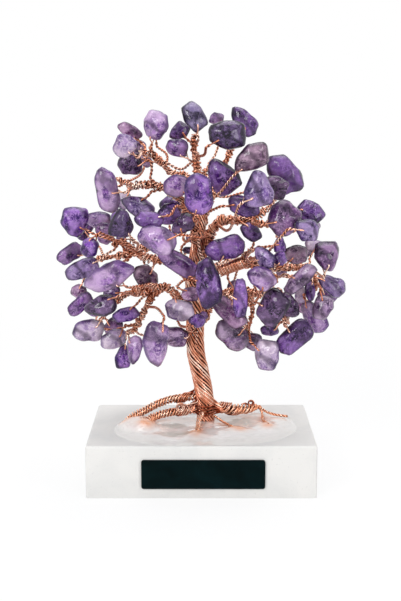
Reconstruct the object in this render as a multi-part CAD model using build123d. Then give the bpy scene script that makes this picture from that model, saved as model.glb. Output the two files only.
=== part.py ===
from build123d import *
import math
import os
import numpy as np

# A little tree of twisted copper wire that carries tumbled amethyst chips, standing on a white stone base.
# Origin at the centre of the base's underside, +Z up, -Y the front, +X to the viewer's right.

# Base, name plate and resin
base_width = 76.0
base_depth = 50.0
base_height = 17.8
base_edge_radius = 0.8
plate_width = 40.6
plate_height = 9.8
plate_thickness = 0.6
plate_corner_radius = 0.8
plate_shift = 0.6
plate_middle_height = 8.3
resin_height = 0.8
resin_edge_radius = 0.35

# Wire bundles
wire_diameter = 0.45
twig_diameter = 0.95
trunk_diameter = 6.3
stem_diameter = 4.6
limb_diameter = 2.6
heavy_limb_diameter = 3.2
branch_diameter = 1.9
winding_wire_diameter = 0.5
winding_pitch = 1.0
winding_clearance = 0.1
right_root_diameter = 4.0
left_root_diameter = 3.0
front_root_diameter = 1.7
thin_root_diameter = 1.0

# How the wires meet
side_clearance = 0.1
wire_clearance = 0.08
side_lead = 1.4
twig_approach = 1.6
station_spacing = 1.5
least_twig_length = 3.5
sample_spacing = 0.4
root_side_clearance = 0.1

# Amethyst chips
chip_size = 10.0
chip_clearance = 0.3
chip_step = 0.6
bore_diameter = 1.1
hole_inset = 1.9
loop_clearance = 0.15
loop_edge_gap = 1.0
loop_stub = 0.3
loop_bend_radius = 0.6
cut_overrun = 4.0

# The crown's frame: places are shares of these, read on the middle plane and pushed fore and aft
# along the line of sight of someone who stands in front
crown_reach = 50.0
crown_foot = 30.0
crown_height = 100.0
crown_depth = 30.0
viewing_distance = 369.3
eye_height = 129.7
root_rise = 8.0

outline_points = 10
bend_share = 0.42
straight_angle = 1.0
sharpest_turn = 100.0
level_shares = (-1.0, -0.55, 0.0, 0.55, 1.0)
ring_shares = (0.46, 0.86, 1.0, 0.84, 0.40)
unevenness_share = 0.32
shear_share = 0.22
crown_middle_share = 0.5
crown_half_height_share = 0.52
least_fullness_share = 0.25
profile_shares = (0.0, 0.25, 0.5, 0.75, 0.9, 0.98)
steepest_loop_angle = 86.0
length_tilt = 24.0
width_tilt = 16.0
backward_cost_share = 0.25
bow_shares = (0.10, -0.10, 0.22, -0.22, 0.36)
swings = (0, 20, -20, 40, -40, 65, -65, 90, -90, 120, -120, 150, -150, 180)
most_chip_steps = 60
marks_per_turn = 48
most_stations = 30
station_stride = 3

# How far each layer stands fore or aft, as a share of the crown's depth
layer_shares = {"front": -0.85, "fore": -0.50, "mid": -0.12, "rear": 0.20, "back": 0.48, "far": 0.85}

# Outline exponent, taper towards the narrow end, thickness as a share of the width
form_shares = {
    "oval": (2.2, 0.04, 0.64),
    "round": (2.0, 0.08, 0.76),
    "drop": (2.0, 0.36, 0.62),
    "wedge": (2.5, 0.46, 0.64),
    "slab": (3.0, 0.08, 0.56),
    "nugget": (2.5, 0.14, 0.68),
    "bean": (2.3, 0.16, 0.64),
    "kite": (1.7, 0.26, 0.60),
}

# Chips by cluster: place across and up, length and width as shares of a usual chip,
# turn of the wide end in degrees counterclockwise from +X, form and layer
chip_shares = {
    "left_low": [
        (-0.775, 0.210, 1.12, 0.82, 0, "nugget", "mid"),
        (-0.690, 0.296, 1.14, 0.76, 10, "drop", "front"),
        (-0.612, 0.342, 0.64, 0.50, 45, "oval", "mid"),
        (-0.827, 0.302, 1.06, 0.56, 42, "slab", "mid"),
        (-0.835, 0.347, 0.60, 0.54, 0, "round", "back"),
        (-0.515, 0.266, 0.96, 0.50, 14, "oval", "mid"),
        (-0.605, 0.225, 0.80, 0.56, 52, "oval", "back"),
        (-0.605, 0.180, 0.94, 0.72, 15, "nugget", "mid"),
        (-0.540, 0.120, 0.90, 0.60, -100, "wedge", "back"),
        (-0.460, 0.142, 1.00, 0.58, 90, "drop", "fore"),
    ],
    "low_centre": [
        (-0.312, 0.163, 1.70, 0.96, 95, "drop", "front"),
        (-0.185, 0.190, 1.00, 0.80, -25, "nugget", "mid"),
        (-0.150, 0.283, 1.04, 0.70, -12, "oval", "fore"),
        (-0.380, 0.398, 0.96, 0.76, -55, "nugget", "mid"),
        (-0.030, 0.245, 0.58, 0.52, 0, "kite", "front"),
        (0.012, 0.262, 0.35, 0.30, 0, "round", "fore"),
        (-0.075, 0.338, 0.60, 0.50, 0, "nugget", "fore"),
    ],
    "left_mid": [
        (-0.852, 0.582, 1.05, 0.98, 95, "wedge", "fore"),
        (-0.690, 0.590, 0.90, 0.70, -15, "nugget", "rear"),
        (-0.652, 0.545, 0.80, 0.60, 100, "oval", "mid"),
        (-0.540, 0.580, 1.00, 0.86, -90, "wedge", "front"),
        (-0.540, 0.525, 0.40, 0.40, 0, "round", "back"),
        (-0.890, 0.476, 1.00, 0.60, 28, "slab", "mid"),
        (-0.757, 0.498, 0.68, 0.66, 0, "round", "front"),
        (-0.810, 0.423, 1.20, 0.66, 24, "slab", "mid"),
        (-0.630, 0.398, 1.80, 0.90, 33, "oval", "front"),
    ],
    "left_high": [
        (-0.632, 0.690, 1.60, 0.74, -82, "oval", "fore"),
        (-0.430, 0.637, 1.20, 0.76, -27, "drop", "mid"),
        (-0.520, 0.655, 0.65, 0.60, 0, "round", "back"),
        (-0.475, 0.776, 0.88, 0.78, 5, "nugget", "mid"),
        (-0.375, 0.790, 0.60, 0.40, -35, "oval", "back"),
        (-0.420, 0.838, 0.60, 0.45, -20, "oval", "back"),
        (-0.513, 0.837, 0.80, 0.74, 60, "nugget", "front"),
        (-0.475, 0.887, 0.92, 0.47, -35, "bean", "rear"),
    ],
    "top_left": [
        (-0.302, 0.906, 1.02, 0.92, 75, "nugget", "mid"),
        (-0.148, 0.886, 0.80, 0.60, 40, "drop", "back"),
        (-0.163, 0.832, 0.80, 0.66, 0, "nugget", "mid"),
        (-0.170, 0.705, 0.90, 0.80, 10, "nugget", "mid"),
        (-0.048, 0.935, 1.06, 0.76, -68, "slab", "mid"),
        (-0.020, 0.678, 1.40, 0.90, -85, "oval", "front"),
    ],
    "top_right": [
        (0.098, 0.927, 0.56, 0.48, 20, "kite", "back"),
        (0.172, 0.875, 1.24, 0.96, -8, "nugget", "front"),
        (0.280, 0.920, 1.16, 0.78, -50, "drop", "mid"),
        (0.330, 0.797, 1.30, 0.88, 33, "drop", "front"),
        (0.135, 0.738, 1.30, 1.10, -60, "wedge", "fore"),
        (0.285, 0.638, 1.10, 0.64, -18, "oval", "front"),
    ],
    "centre": [
        (-0.352, 0.592, 0.98, 0.54, -5, "oval", "front"),
        (-0.300, 0.525, 1.30, 0.90, -10, "nugget", "front"),
        (-0.215, 0.610, 0.86, 0.76, 10, "nugget", "mid"),
        (-0.125, 0.575, 0.90, 0.64, 28, "drop", "fore"),
        (-0.155, 0.445, 1.60, 0.64, -32, "slab", "fore"),
        (0.045, 0.375, 1.65, 0.90, -78, "nugget", "front"),
        (0.160, 0.495, 1.42, 0.82, 12, "bean", "mid"),
        (0.335, 0.550, 0.80, 0.56, -40, "oval", "mid"),
        (-0.065, 0.530, 0.42, 0.38, 0, "round", "back"),
        (-0.095, 0.488, 0.36, 0.30, 0, "round", "back"),
    ],
    "right_high": [
        (0.555, 0.745, 1.60, 1.05, -55, "bean", "back"),
        (0.385, 0.695, 1.20, 1.00, -85, "wedge", "front"),
        (0.495, 0.700, 0.90, 0.80, -30, "nugget", "mid"),
        (0.555, 0.595, 1.16, 1.04, 60, "nugget", "front"),
        (0.732, 0.617, 0.96, 0.80, -38, "slab", "mid"),
        (0.712, 0.557, 0.92, 0.78, -30, "kite", "front"),
    ],
    "right_mid": [
        (0.425, 0.463, 0.86, 0.64, -42, "kite", "front"),
        (0.410, 0.393, 1.04, 0.74, -35, "bean", "front"),
        (0.530, 0.508, 0.60, 0.48, -100, "wedge", "mid"),
        (0.532, 0.460, 0.48, 0.46, 0, "round", "front"),
        (0.540, 0.420, 0.50, 0.40, -60, "oval", "back"),
        (0.640, 0.474, 0.80, 0.66, 0, "slab", "mid"),
        (0.775, 0.500, 0.85, 0.48, -18, "oval", "back"),
        (0.720, 0.483, 0.45, 0.42, 0, "round", "back"),
        (0.850, 0.467, 1.04, 0.92, 100, "wedge", "front"),
    ],
    "right_far": [
        (0.670, 0.388, 1.36, 0.52, 42, "slab", "front"),
        (0.885, 0.370, 1.16, 0.70, -28, "drop", "mid"),
        (0.860, 0.333, 0.75, 0.50, -10, "oval", "back"),
        (0.740, 0.350, 0.74, 0.38, 90, "oval", "mid"),
        (0.677, 0.335, 0.70, 0.44, 80, "oval", "back"),
        (0.682, 0.293, 0.55, 0.38, -40, "oval", "back"),
        (0.772, 0.258, 1.20, 0.80, -50, "nugget", "mid"),
        (0.828, 0.290, 0.90, 0.66, 65, "nugget", "front"),
    ],
    "right_low": [
        (0.487, 0.290, 1.28, 0.94, 58, "slab", "front"),
        (0.603, 0.302, 0.98, 0.58, -72, "wedge", "mid"),
        (0.468, 0.212, 0.66, 0.48, 0, "nugget", "mid"),
        (0.638, 0.186, 1.40, 0.80, 43, "slab", "front"),
        (0.452, 0.125, 1.08, 0.84, 95, "slab", "front"),
        (0.355, 0.170, 0.72, 0.66, 0, "nugget", "mid"),
        (0.210, 0.195, 1.40, 0.86, -45, "nugget", "mid"),
        (0.190, 0.277, 1.36, 0.70, -47, "slab", "fore"),
        (0.265, 0.322, 1.46, 0.48, -88, "slab", "front"),
        (0.213, 0.355, 0.70, 0.46, 90, "oval", "back"),
    ],
    "back_low": [
        (-0.690, 0.296, 1.05, 0.72, 20, "nugget", "far"),
        (-0.630, 0.410, 1.20, 0.75, 30, "oval", "far"),
        (-0.312, 0.180, 1.10, 0.80, 85, "drop", "far"),
        (-0.150, 0.285, 0.95, 0.62, -10, "oval", "far"),
        (0.200, 0.285, 1.15, 0.75, -45, "nugget", "far"),
        (0.487, 0.290, 1.05, 0.80, 50, "slab", "far"),
        (0.410, 0.400, 0.90, 0.68, -35, "nugget", "far"),
        (-0.370, 0.400, 0.85, 0.65, -50, "nugget", "far"),
        (0.045, 0.385, 1.20, 0.80, -80, "oval", "far"),
        (0.640, 0.195, 1.00, 0.62, 40, "slab", "far"),
        (0.660, 0.390, 0.95, 0.50, 45, "oval", "far"),
    ],
    "back_high": [
        (-0.800, 0.560, 0.85, 0.80, 90, "wedge", "far"),
        (-0.540, 0.585, 0.90, 0.75, -80, "nugget", "far"),
        (-0.300, 0.530, 1.10, 0.76, -10, "slab", "far"),
        (-0.625, 0.700, 1.10, 0.62, -80, "oval", "far"),
        (-0.200, 0.640, 0.90, 0.78, 10, "nugget", "far"),
        (-0.020, 0.680, 1.15, 0.80, -80, "drop", "far"),
        (0.140, 0.740, 1.10, 0.90, -60, "wedge", "far"),
        (0.160, 0.497, 1.15, 0.70, 12, "bean", "far"),
        (0.385, 0.690, 1.00, 0.85, -90, "nugget", "far"),
        (0.560, 0.600, 1.00, 0.90, 60, "nugget", "far"),
        (0.172, 0.872, 0.95, 0.72, 0, "drop", "far"),
        (-0.300, 0.895, 0.80, 0.70, 70, "nugget", "far"),
        (0.720, 0.570, 0.80, 0.70, -30, "slab", "far"),
        (-0.480, 0.810, 0.80, 0.70, 40, "nugget", "far"),
    ],
}

# Routes of the bundles: across, up and fore or aft, in shares of the crown
trunk_shares = [
    (0.030, -0.113, 0.10), (0.030, -0.040, 0.10), (-0.005, 0.060, 0.10), (-0.040, 0.130, 0.08),
    (-0.045, 0.220, 0.06), (-0.036, 0.300, 0.04), (-0.052, 0.380, 0.02), (-0.040, 0.455, 0.02),
]
stem_shares = [(-0.018, 0.520, 0.02), (-0.012, 0.580, 0.04), (-0.014, 0.630, 0.04)]
top_limb_shares = [(-0.018, 0.700, 0.02), (-0.030, 0.760, 0.0), (-0.046, 0.820, 0.0), (-0.050, 0.875, 0.02)]

# Each limb: its diameter, the bundle that it leaves, and its route from there on
limb_shares = {
    "left_low_limb": (limb_diameter, "trunk_bundle", [
        (-0.060, 0.300, 0.0), (-0.170, 0.335, -0.10), (-0.250, 0.368, -0.18), (-0.330, 0.360, -0.20),
        (-0.400, 0.335, -0.16)]),
    "left_low_branch": (branch_diameter, "left_low_limb", [
        (-0.340, 0.356, -0.15), (-0.460, 0.345, -0.05), (-0.560, 0.325, 0.02), (-0.660, 0.275, 0.08),
        (-0.700, 0.235, 0.10)]),
    "left_drop_branch": (branch_diameter, "left_low_limb", [
        (-0.300, 0.362, -0.15), (-0.370, 0.300, -0.10), (-0.420, 0.250, -0.05), (-0.480, 0.200, 0.0)]),
    "left_mid_limb": (limb_diameter, "trunk_bundle", [
        (-0.050, 0.405, 0.0), (-0.150, 0.462, -0.04), (-0.280, 0.452, -0.08), (-0.400, 0.465, -0.06),
        (-0.500, 0.522, 0.0), (-0.600, 0.505, 0.04)]),
    "left_far_branch": (branch_diameter, "left_mid_limb", [
        (-0.440, 0.490, 0.0), (-0.570, 0.465, 0.12), (-0.680, 0.462, 0.14), (-0.760, 0.445, 0.12)]),
    "left_high_limb": (limb_diameter, "stem_bundle", [
        (-0.014, 0.575, 0.0), (-0.110, 0.655, 0.04), (-0.250, 0.700, 0.0), (-0.360, 0.712, -0.04),
        (-0.460, 0.704, -0.02), (-0.555, 0.728, 0.0)]),
    "top_left_limb": (branch_diameter, "top_limb", [
        (-0.018, 0.690, 0.06), (-0.100, 0.742, 0.12), (-0.210, 0.748, 0.12), (-0.265, 0.785, 0.08),
        (-0.330, 0.812, 0.04), (-0.400, 0.822, 0.0)]),
    "top_right_limb": (branch_diameter, "stem_bundle", [
        (-0.010, 0.590, 0.10), (0.060, 0.660, 0.20), (0.110, 0.730, 0.22), (0.170, 0.790, 0.20),
        (0.215, 0.850, 0.16)]),
    "right_high_limb": (heavy_limb_diameter, "stem_bundle", [
        (-0.020, 0.485, 0.0), (0.060, 0.550, -0.04), (0.130, 0.596, -0.08), (0.250, 0.588, -0.12),
        (0.350, 0.592, -0.12), (0.430, 0.625, -0.06), (0.490, 0.660, 0.0)]),
    "right_high_branch": (branch_diameter, "right_high_limb", [
        (0.300, 0.585, -0.04), (0.420, 0.575, 0.06), (0.520, 0.585, 0.14), (0.620, 0.595, 0.16)]),
    "right_mid_limb": (heavy_limb_diameter, "trunk_bundle", [
        (-0.045, 0.345, 0.0), (0.030, 0.398, -0.06), (0.085, 0.412, -0.10), (0.335, 0.456, -0.16),
        (0.385, 0.450, -0.16), (0.450, 0.415, -0.12), (0.520, 0.380, -0.06)]),
    "right_riser": (branch_diameter, "right_mid_limb", [
        (0.310, 0.456, -0.12), (0.352, 0.500, -0.08), (0.362, 0.545, -0.06)]),
    "right_far_branch": (branch_diameter, "right_mid_limb", [
        (0.400, 0.440, -0.04), (0.520, 0.425, 0.08), (0.640, 0.432, 0.12), (0.725, 0.436, 0.12),
        (0.775, 0.392, 0.10), (0.780, 0.340, 0.08)]),
    "right_low_limb": (limb_diameter, "trunk_bundle", [
        (-0.036, 0.255, 0.10), (0.070, 0.320, 0.14), (0.190, 0.345, 0.08), (0.310, 0.352, 0.0),
        (0.400, 0.335, -0.04), (0.480, 0.335, -0.04), (0.555, 0.290, -0.04), (0.605, 0.235, 0.0)]),
    "right_drop_branch": (branch_diameter, "right_low_limb", [
        (0.300, 0.345, 0.08), (0.355, 0.300, 0.08), (0.340, 0.250, 0.06), (0.310, 0.205, 0.06)]),
    "back_left_limb": (limb_diameter, "trunk_bundle", [
        (-0.050, 0.360, 0.10), (-0.110, 0.440, 0.34), (-0.230, 0.490, 0.48), (-0.380, 0.500, 0.54),
        (-0.500, 0.470, 0.52)]),
    "back_right_limb": (limb_diameter, "trunk_bundle", [
        (-0.040, 0.330, 0.10), (0.060, 0.420, 0.36), (0.190, 0.450, 0.50), (0.340, 0.440, 0.54),
        (0.470, 0.400, 0.50)]),
    "back_high_limb": (limb_diameter, "stem_bundle", [
        (-0.016, 0.530, 0.10), (0.020, 0.610, 0.34), (0.040, 0.690, 0.46), (0.020, 0.770, 0.50)]),
    "front_limb": (branch_diameter, "stem_bundle", [
        (-0.018, 0.500, -0.05), (-0.050, 0.570, -0.28), (-0.070, 0.620, -0.40)]),
}

# Roots: diameter, and route as shares of half the base's width, half its depth and the roots' rise
root_shares = {
    "left_back_root": (left_root_diameter, [
        (-0.110, 0.180, 0.80), (-0.255, 0.240, 0.66), (-0.420, 0.300, 0.34), (-0.560, 0.200, 0.06),
        (-0.710, -0.030, 0.0)]),
    "left_front_root": (left_root_diameter, [
        (-0.110, 0.085, 0.28), (-0.290, 0.100, 0.16), (-0.455, 0.020, 0.02), (-0.500, -0.260, 0.0)]),
    "front_root": (front_root_diameter, [
        (0.010, -0.075, 0.32), (-0.030, -0.190, 0.10), (-0.030, -0.360, 0.0), (-0.055, -0.600, 0.0)]),
    "front_right_root": (thin_root_diameter, [
        (0.130, -0.050, 0.24), (0.190, -0.110, 0.06), (0.250, -0.230, 0.0), (0.345, -0.380, 0.0)]),
    "right_root": (right_root_diameter, [
        (0.150, 0.120, 0.28), (0.275, 0.200, 0.14), (0.410, 0.310, 0.06), (0.520, 0.440, 0.04)]),
}
root_tail_shares = [
    [(0.600, 0.380, 0.06), (0.680, 0.260, 0.02), (0.800, 0.200, 0.0)],
    [(0.570, 0.240, 0.04), (0.560, 0.020, 0.0), (0.610, -0.180, 0.0)],
]

resin_shares = [
    (-0.760, -0.060), (-0.500, 0.330), (-0.100, 0.420), (0.330, 0.560), (0.640, 0.520), (0.840, 0.140),
    (0.740, -0.560), (0.420, -0.860), (0.020, -0.930), (-0.420, -0.880), (-0.700, -0.560),
]


def unit(vector):
    return vector / np.linalg.norm(vector)


def crown_place(x_share, z_share, depth_share):
    depth = depth_share * crown_depth
    nearness = 1 + depth / viewing_distance
    height = eye_height + (crown_foot + z_share * crown_height - eye_height) * nearness
    return np.array([x_share * crown_reach * nearness, depth, height])


def turn_between(run_in, run_out):
    return math.acos(max(-1.0, min(1.0, float(unit(run_in) @ unit(run_out)))))


def sharpest(points):
    # The largest turn of a route, in degrees
    runs = [after - before for before, after in zip(points, points[1:])]
    return math.degrees(max(turn_between(a, b) for a, b in zip(runs, runs[1:])))


def corner_radii(points, radius_cap):
    # The radius of the bend at each inner point, as large as its two runs allow
    radii = []
    for before, here, after in zip(points, points[1:], points[2:]):
        run_in, run_out = here - before, after - here
        shorter = min(np.linalg.norm(run_in), np.linalg.norm(run_out))
        turn = turn_between(run_in, run_out)
        radii.append(min(bend_share * shorter / math.tan(turn / 2), radius_cap))
    return radii


def without_straight_points(points):
    # A point in line with its neighbours has no bend, so it is left out
    kept = [points[0]]
    for here, after in zip(points[1:], points[2:]):
        if unit(here - kept[-1]) @ unit(after - here) < math.cos(math.radians(straight_angle)):
            kept.append(here)
    return kept + [points[-1]]


def centreline(points, radius_cap=math.inf):
    # Points along the runs and arcs, about one sample spacing apart
    points = without_straight_points([np.array(p) for p in points])
    radii = corner_radii(points, radius_cap)
    marks = [points[0]]
    for i, radius in enumerate(radii):
        corner = points[i + 1]
        way_in, way_out = unit(corner - points[i]), unit(points[i + 2] - corner)
        half_turn = math.acos(max(-1.0, min(1.0, float(way_in @ way_out)))) / 2
        tangent = radius * math.tan(half_turn)
        centre = corner + unit(way_out - way_in) * radius / math.cos(half_turn)
        first, last = corner - way_in * tangent - centre, corner + way_out * tangent - centre
        steps = max(2, math.ceil(2 * half_turn * radius / sample_spacing))
        for step in range(steps + 1):
            share = step / steps
            weight_in = math.sin((1 - share) * 2 * half_turn) / math.sin(2 * half_turn)
            weight_out = math.sin(share * 2 * half_turn) / math.sin(2 * half_turn)
            marks.append(centre + first * weight_in + last * weight_out)
    marks.append(points[-1])
    filled = [marks[0]]
    for start, end in zip(marks, marks[1:]):
        pieces = max(1, math.ceil(np.linalg.norm(end - start) / sample_spacing))
        filled += [start + (end - start) * (k + 1) / pieces for k in range(pieces)]
    return np.array(filled)


def tube(points, diameter, radius_cap=math.inf):
    # Straight runs joined by tangent arcs, with a round section
    points = without_straight_points([np.array(p) for p in points])
    corners = [Vector(*map(float, p)) for p in points]
    if len(corners) > 2:
        path = Wire(FilletPolyline(*corners, radius=corner_radii(points, radius_cap)).edges())
    else:
        path = Wire(Line(*corners).edges())
    section = Plane(origin=path @ 0, z_dir=path % 0) * Circle(diameter / 2)
    return sweep(section, path=path).solid()


class Chip:
    # A tumbled chip: a few rings of one outline, from cap to cap, all of whose faces are flat
    def __init__(self, x_share, z_share, length_share, width_share, turn, form, layer, number):
        exponent, taper, thickness_share = form_shares[form]
        wave = [math.sin(number * k + 1) for k in (1.7, 2.9, 3.7, 5.3)]
        places = np.arange(outline_points)
        uneven = unevenness_share * np.sin(number * 1.9 + places * 2.4)
        angles = (places + uneven) * math.tau / outline_points
        along = np.sign(np.cos(angles)) * np.abs(np.cos(angles)) ** (2 / exponent)
        across = np.sign(np.sin(angles)) * np.abs(np.sin(angles)) ** (2 / exponent) * (1 + taper * along)
        length, width = length_share * chip_size, width_share * chip_size
        thickness = width * thickness_share
        along *= length / np.ptp(along)
        across *= width / np.ptp(across)
        tilt_about_length = math.radians(length_tilt * wave[0])
        tilt_about_width = math.radians(width_tilt * wave[1])
        turned = math.radians(turn)
        long_axis = np.array([math.cos(turned), 0, math.sin(turned)])
        thin_axis = np.array([0, -1, 0])
        wide_axis = np.cross(thin_axis, long_axis)
        wide_axis, thin_axis = (
            wide_axis * math.cos(tilt_about_length) + thin_axis * math.sin(tilt_about_length),
            thin_axis * math.cos(tilt_about_length) - wide_axis * math.sin(tilt_about_length))
        long_axis, thin_axis = (
            long_axis * math.cos(tilt_about_width) + thin_axis * math.sin(tilt_about_width),
            thin_axis * math.cos(tilt_about_width) - long_axis * math.sin(tilt_about_width))
        self.long_axis, self.wide_axis, self.thin_axis = long_axis, wide_axis, thin_axis
        rings = []
        for level, ring in zip(level_shares, ring_shares):
            lean_along = wave[2] * shear_share * level * thickness / 2
            lean_across = wave[3] * shear_share * level * thickness / 2
            rings.append(np.outer(along * ring + lean_along, long_axis)
                         + np.outer(across * ring + lean_across, wide_axis)
                         + thin_axis * level * thickness / 2)
        self.local_rings = np.array(rings)
        self.share_place = (x_share, z_share)
        off_centre = math.hypot(x_share, (z_share - crown_middle_share) / crown_half_height_share)
        fullness = math.sqrt(max(1 - off_centre ** 2, least_fullness_share))
        self.depth_share = layer_shares[layer] * fullness
        self.way = {"front": (-1,), "fore": (-1,), "far": (1,), "back": (1,)}.get(layer, (-1, 1))
        self.number = number
        self.move_to(self.depth_share)

    def move_to(self, depth_share):
        self.centre = crown_place(*self.share_place, depth_share)
        self.rings = self.local_rings + self.centre
        self.corners = self.rings.reshape(-1, 3)
        self.faces = [list(self.rings[0]), list(self.rings[-1])]
        for low, high in zip(self.rings, self.rings[1:]):
            for i in range(outline_points):
                j = (i + 1) % outline_points
                self.faces.append([low[i], low[j], high[j], high[i]])
        normals, offsets = [], []
        for face in self.faces:
            normal = unit(np.cross(face[1] - face[0], face[2] - face[1]))
            if normal @ (face[0] - self.centre) < 0:
                normal = -normal
            normals.append(normal)
            offsets.append(normal @ face[0])
        self.normals, self.offsets = np.array(normals), np.array(offsets)
        self.radius = np.linalg.norm(self.corners - self.centre, axis=1).max()

    def clearance_to_points(self, points):
        # A lower bound of how far each point lies outside this chip
        return (points @ self.normals.T - self.offsets).max(axis=1)

    def clears_chip(self, other, gap):
        if np.linalg.norm(self.centre - other.centre) > self.radius + other.radius + gap:
            return True
        if (other.corners @ self.normals.T - self.offsets).min(axis=0).max() >= gap:
            return True
        return (self.corners @ other.normals.T - other.offsets).min(axis=0).max() >= gap

    def reach(self, start, way):
        # How far a ray from inside the chip runs to its surface
        slopes = self.normals @ way
        rooms = self.offsets - self.normals @ start
        return float((rooms[slopes > 1e-6] / slopes[slopes > 1e-6]).min())

    def thread(self, heading):
        # The bore near the edge that faces the heading, and the wire loop that passes through it
        flat = heading - self.thin_axis * (heading @ self.thin_axis)
        outward = unit(flat)
        edge = self.reach(self.centre, outward)
        inset = min(hole_inset, edge / 2)
        self.outward = outward
        self.hole = self.centre + outward * (edge - inset)
        self.twig_end = self.hole + outward * (inset + loop_edge_gap)
        keep_off = wire_diameter / 2 + loop_clearance
        start_off = (wire_diameter + wire_clearance / 2) / 2
        end_distance = inset + loop_edge_gap - loop_stub
        sides = []
        for side in (1, -1):
            way = self.thin_axis * side
            steepest, top = 0.0, 0.0
            for share in profile_shares:
                height = self.reach(self.hole + outward * inset * share, way)
                top = max(top, height)
                run, rise = end_distance - inset * share, height - start_off
                slant = math.hypot(run, rise)
                steepest = max(steepest, math.atan2(rise, run) + math.asin(min(1.0, keep_off / slant)))
            top += keep_off
            steepest = min(steepest, math.radians(steepest_loop_angle))
            corner = max(end_distance - (top - start_off) / math.tan(steepest), inset / 4)
            sides.append([self.twig_end + way * start_off,
                          self.hole + outward * end_distance + way * start_off,
                          self.hole + outward * corner + way * top,
                          self.hole + way * top])
        self.loop_points = sides[0] + sides[1][::-1]
        self.loop_line = centreline(self.loop_points, loop_bend_radius)

    def solid(self):
        flats = [Face(Wire.make_polygon([Vector(*map(float, p)) for p in face])) for face in self.faces]
        body = Solid(Shell(flats))
        middle = Vector(*map(float, self.hole))
        drill_length = 2 * self.radius + cut_overrun
        drill = Plane(origin=middle, z_dir=Vector(*map(float, self.thin_axis))) * Cylinder(
            bore_diameter / 2, drill_length)
        return (body - drill).solid()


class Bundle:
    # A bundle of wires: its route, its diameter, its centreline, and where others may leave it
    def __init__(self, points, diameter, line=None):
        self.points, self.diameter = points, diameter
        self.line = centreline(points) if line is None else line

    def nearest(self, place):
        index = int(np.linalg.norm(self.line - place, axis=1).argmin())
        index = min(max(index, 1), len(self.line) - 2)
        return self.line[index], unit(self.line[index + 1] - self.line[index - 1])

    def leave(self, place, target, diameter):
        # Two points beside this bundle, on the side of the target, from which a thinner one sets out
        spot, axis = self.nearest(place)
        across = target - spot - axis * ((target - spot) @ axis)
        aside = unit(across) * (self.diameter / 2 + diameter / 2 + side_clearance)
        onward = axis if (target - spot) @ axis > 0 else -axis
        return [spot + aside, spot + aside + onward * side_lead]

    def stations(self):
        step = max(1, round(station_spacing / sample_spacing))
        return self.line[2::step]


def make_bundles():
    bundles = {}
    trunk_points = [crown_place(*share) for share in trunk_shares]
    trunk_points[0][2] = base_height + resin_height
    bundles["trunk_bundle"] = Bundle(trunk_points, trunk_diameter)
    lead = unit(trunk_points[-1] - trunk_points[-2]) * side_lead
    stem_points = [trunk_points[-1], trunk_points[-1] + lead] + [crown_place(*s) for s in stem_shares]
    bundles["stem_bundle"] = Bundle(stem_points, stem_diameter)
    lead = unit(stem_points[-1] - stem_points[-2]) * side_lead
    top_points = [stem_points[-1], stem_points[-1] + lead] + [crown_place(*s) for s in top_limb_shares]
    bundles["top_limb"] = Bundle(top_points, limb_diameter)
    for name, (diameter, parent, route) in limb_shares.items():
        points = [crown_place(*share) for share in route]
        start = bundles[parent].leave(points[0], points[1], diameter)
        bundles[name] = Bundle(start + points[1:], diameter)
    return bundles


def make_roots(trunk):
    roots = {}
    ground = base_height + resin_height
    reach = np.array([base_width / 2, base_depth / 2, root_rise])
    for name, (diameter, route) in root_shares.items():
        lift = np.array([0, 0, ground + diameter / 2])
        points = [np.array(share) * reach + lift for share in route]
        spot, _ = trunk.nearest(points[0])
        away = points[1] - spot
        away[2] = 0
        fall = points[0][2] - points[1][2]
        lean = math.atan2(fall, np.linalg.norm(away) - trunk.diameter / 2)
        clear = trunk.diameter / 2 + root_side_clearance + diameter / 2 * math.sin(lean)
        start = spot + unit(away) * clear
        start[2] = points[0][2]
        roots[name] = Bundle([start] + points[1:], diameter)
    tails = []
    end, before = roots["right_root"].points[-1], roots["right_root"].points[-2]
    onward = unit(end - before)
    sideways = unit(np.cross(onward, np.array([0, 0, 1])))
    for side, route in zip((-1, 1), root_tail_shares):
        lift = np.array([0, 0, ground + thin_root_diameter / 2])
        start = end + sideways * side * (thin_root_diameter + side_clearance) / 2
        points = [start, start + onward * side_lead] + [np.array(s) * reach + lift for s in route]
        tails.append(Bundle(points, thin_root_diameter))
    return roots, tails


def place_chips(bundles):
    # Each chip moves fore or aft, by the fewest steps, until it clears the bundles and the chips before it
    placed = []
    number = 0
    for cluster, rows in chip_shares.items():
        for row in rows:
            number += 1
            chip = Chip(*row, number)
            chip.cluster = cluster
            for step in range(most_chip_steps):
                for way in chip.way:
                    chip.move_to(chip.depth_share + way * step * chip_step / crown_depth)
                    free = all(
                        chip.clearance_to_points(b.line).min() >= b.diameter / 2 + chip_clearance
                        for b in bundles)
                    if free and all(chip.clears_chip(other, chip_clearance) for other in placed):
                        break
                else:
                    continue
                break
            placed.append(chip)
    return placed


def line_clearance(line, diameter, chips, own_chip, wires):
    # The least room round a wire, to the chips and to the wires already laid
    low, high = line.min(axis=0), line.max(axis=0)
    room = math.inf
    for chip in chips:
        gap = np.maximum(low - chip.centre, chip.centre - high).max() - chip.radius
        if gap > diameter or chip is own_chip:
            continue
        room = min(room, float(chip.clearance_to_points(line).min()) - diameter / 2)
        if room < wire_clearance:
            return room
    for other, other_diameter, other_low, other_high in wires:
        if np.maximum(low - other_high, other_low - high).max() > diameter + other_diameter:
            continue
        apart = np.linalg.norm(line[:, None] - other[None], axis=2).min()
        room = min(room, float(apart) - (diameter + other_diameter) / 2)
        if room < wire_clearance:
            return room
    return room


def wire_entry(line, diameter):
    return line, diameter, line.min(axis=0), line.max(axis=0)


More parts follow.
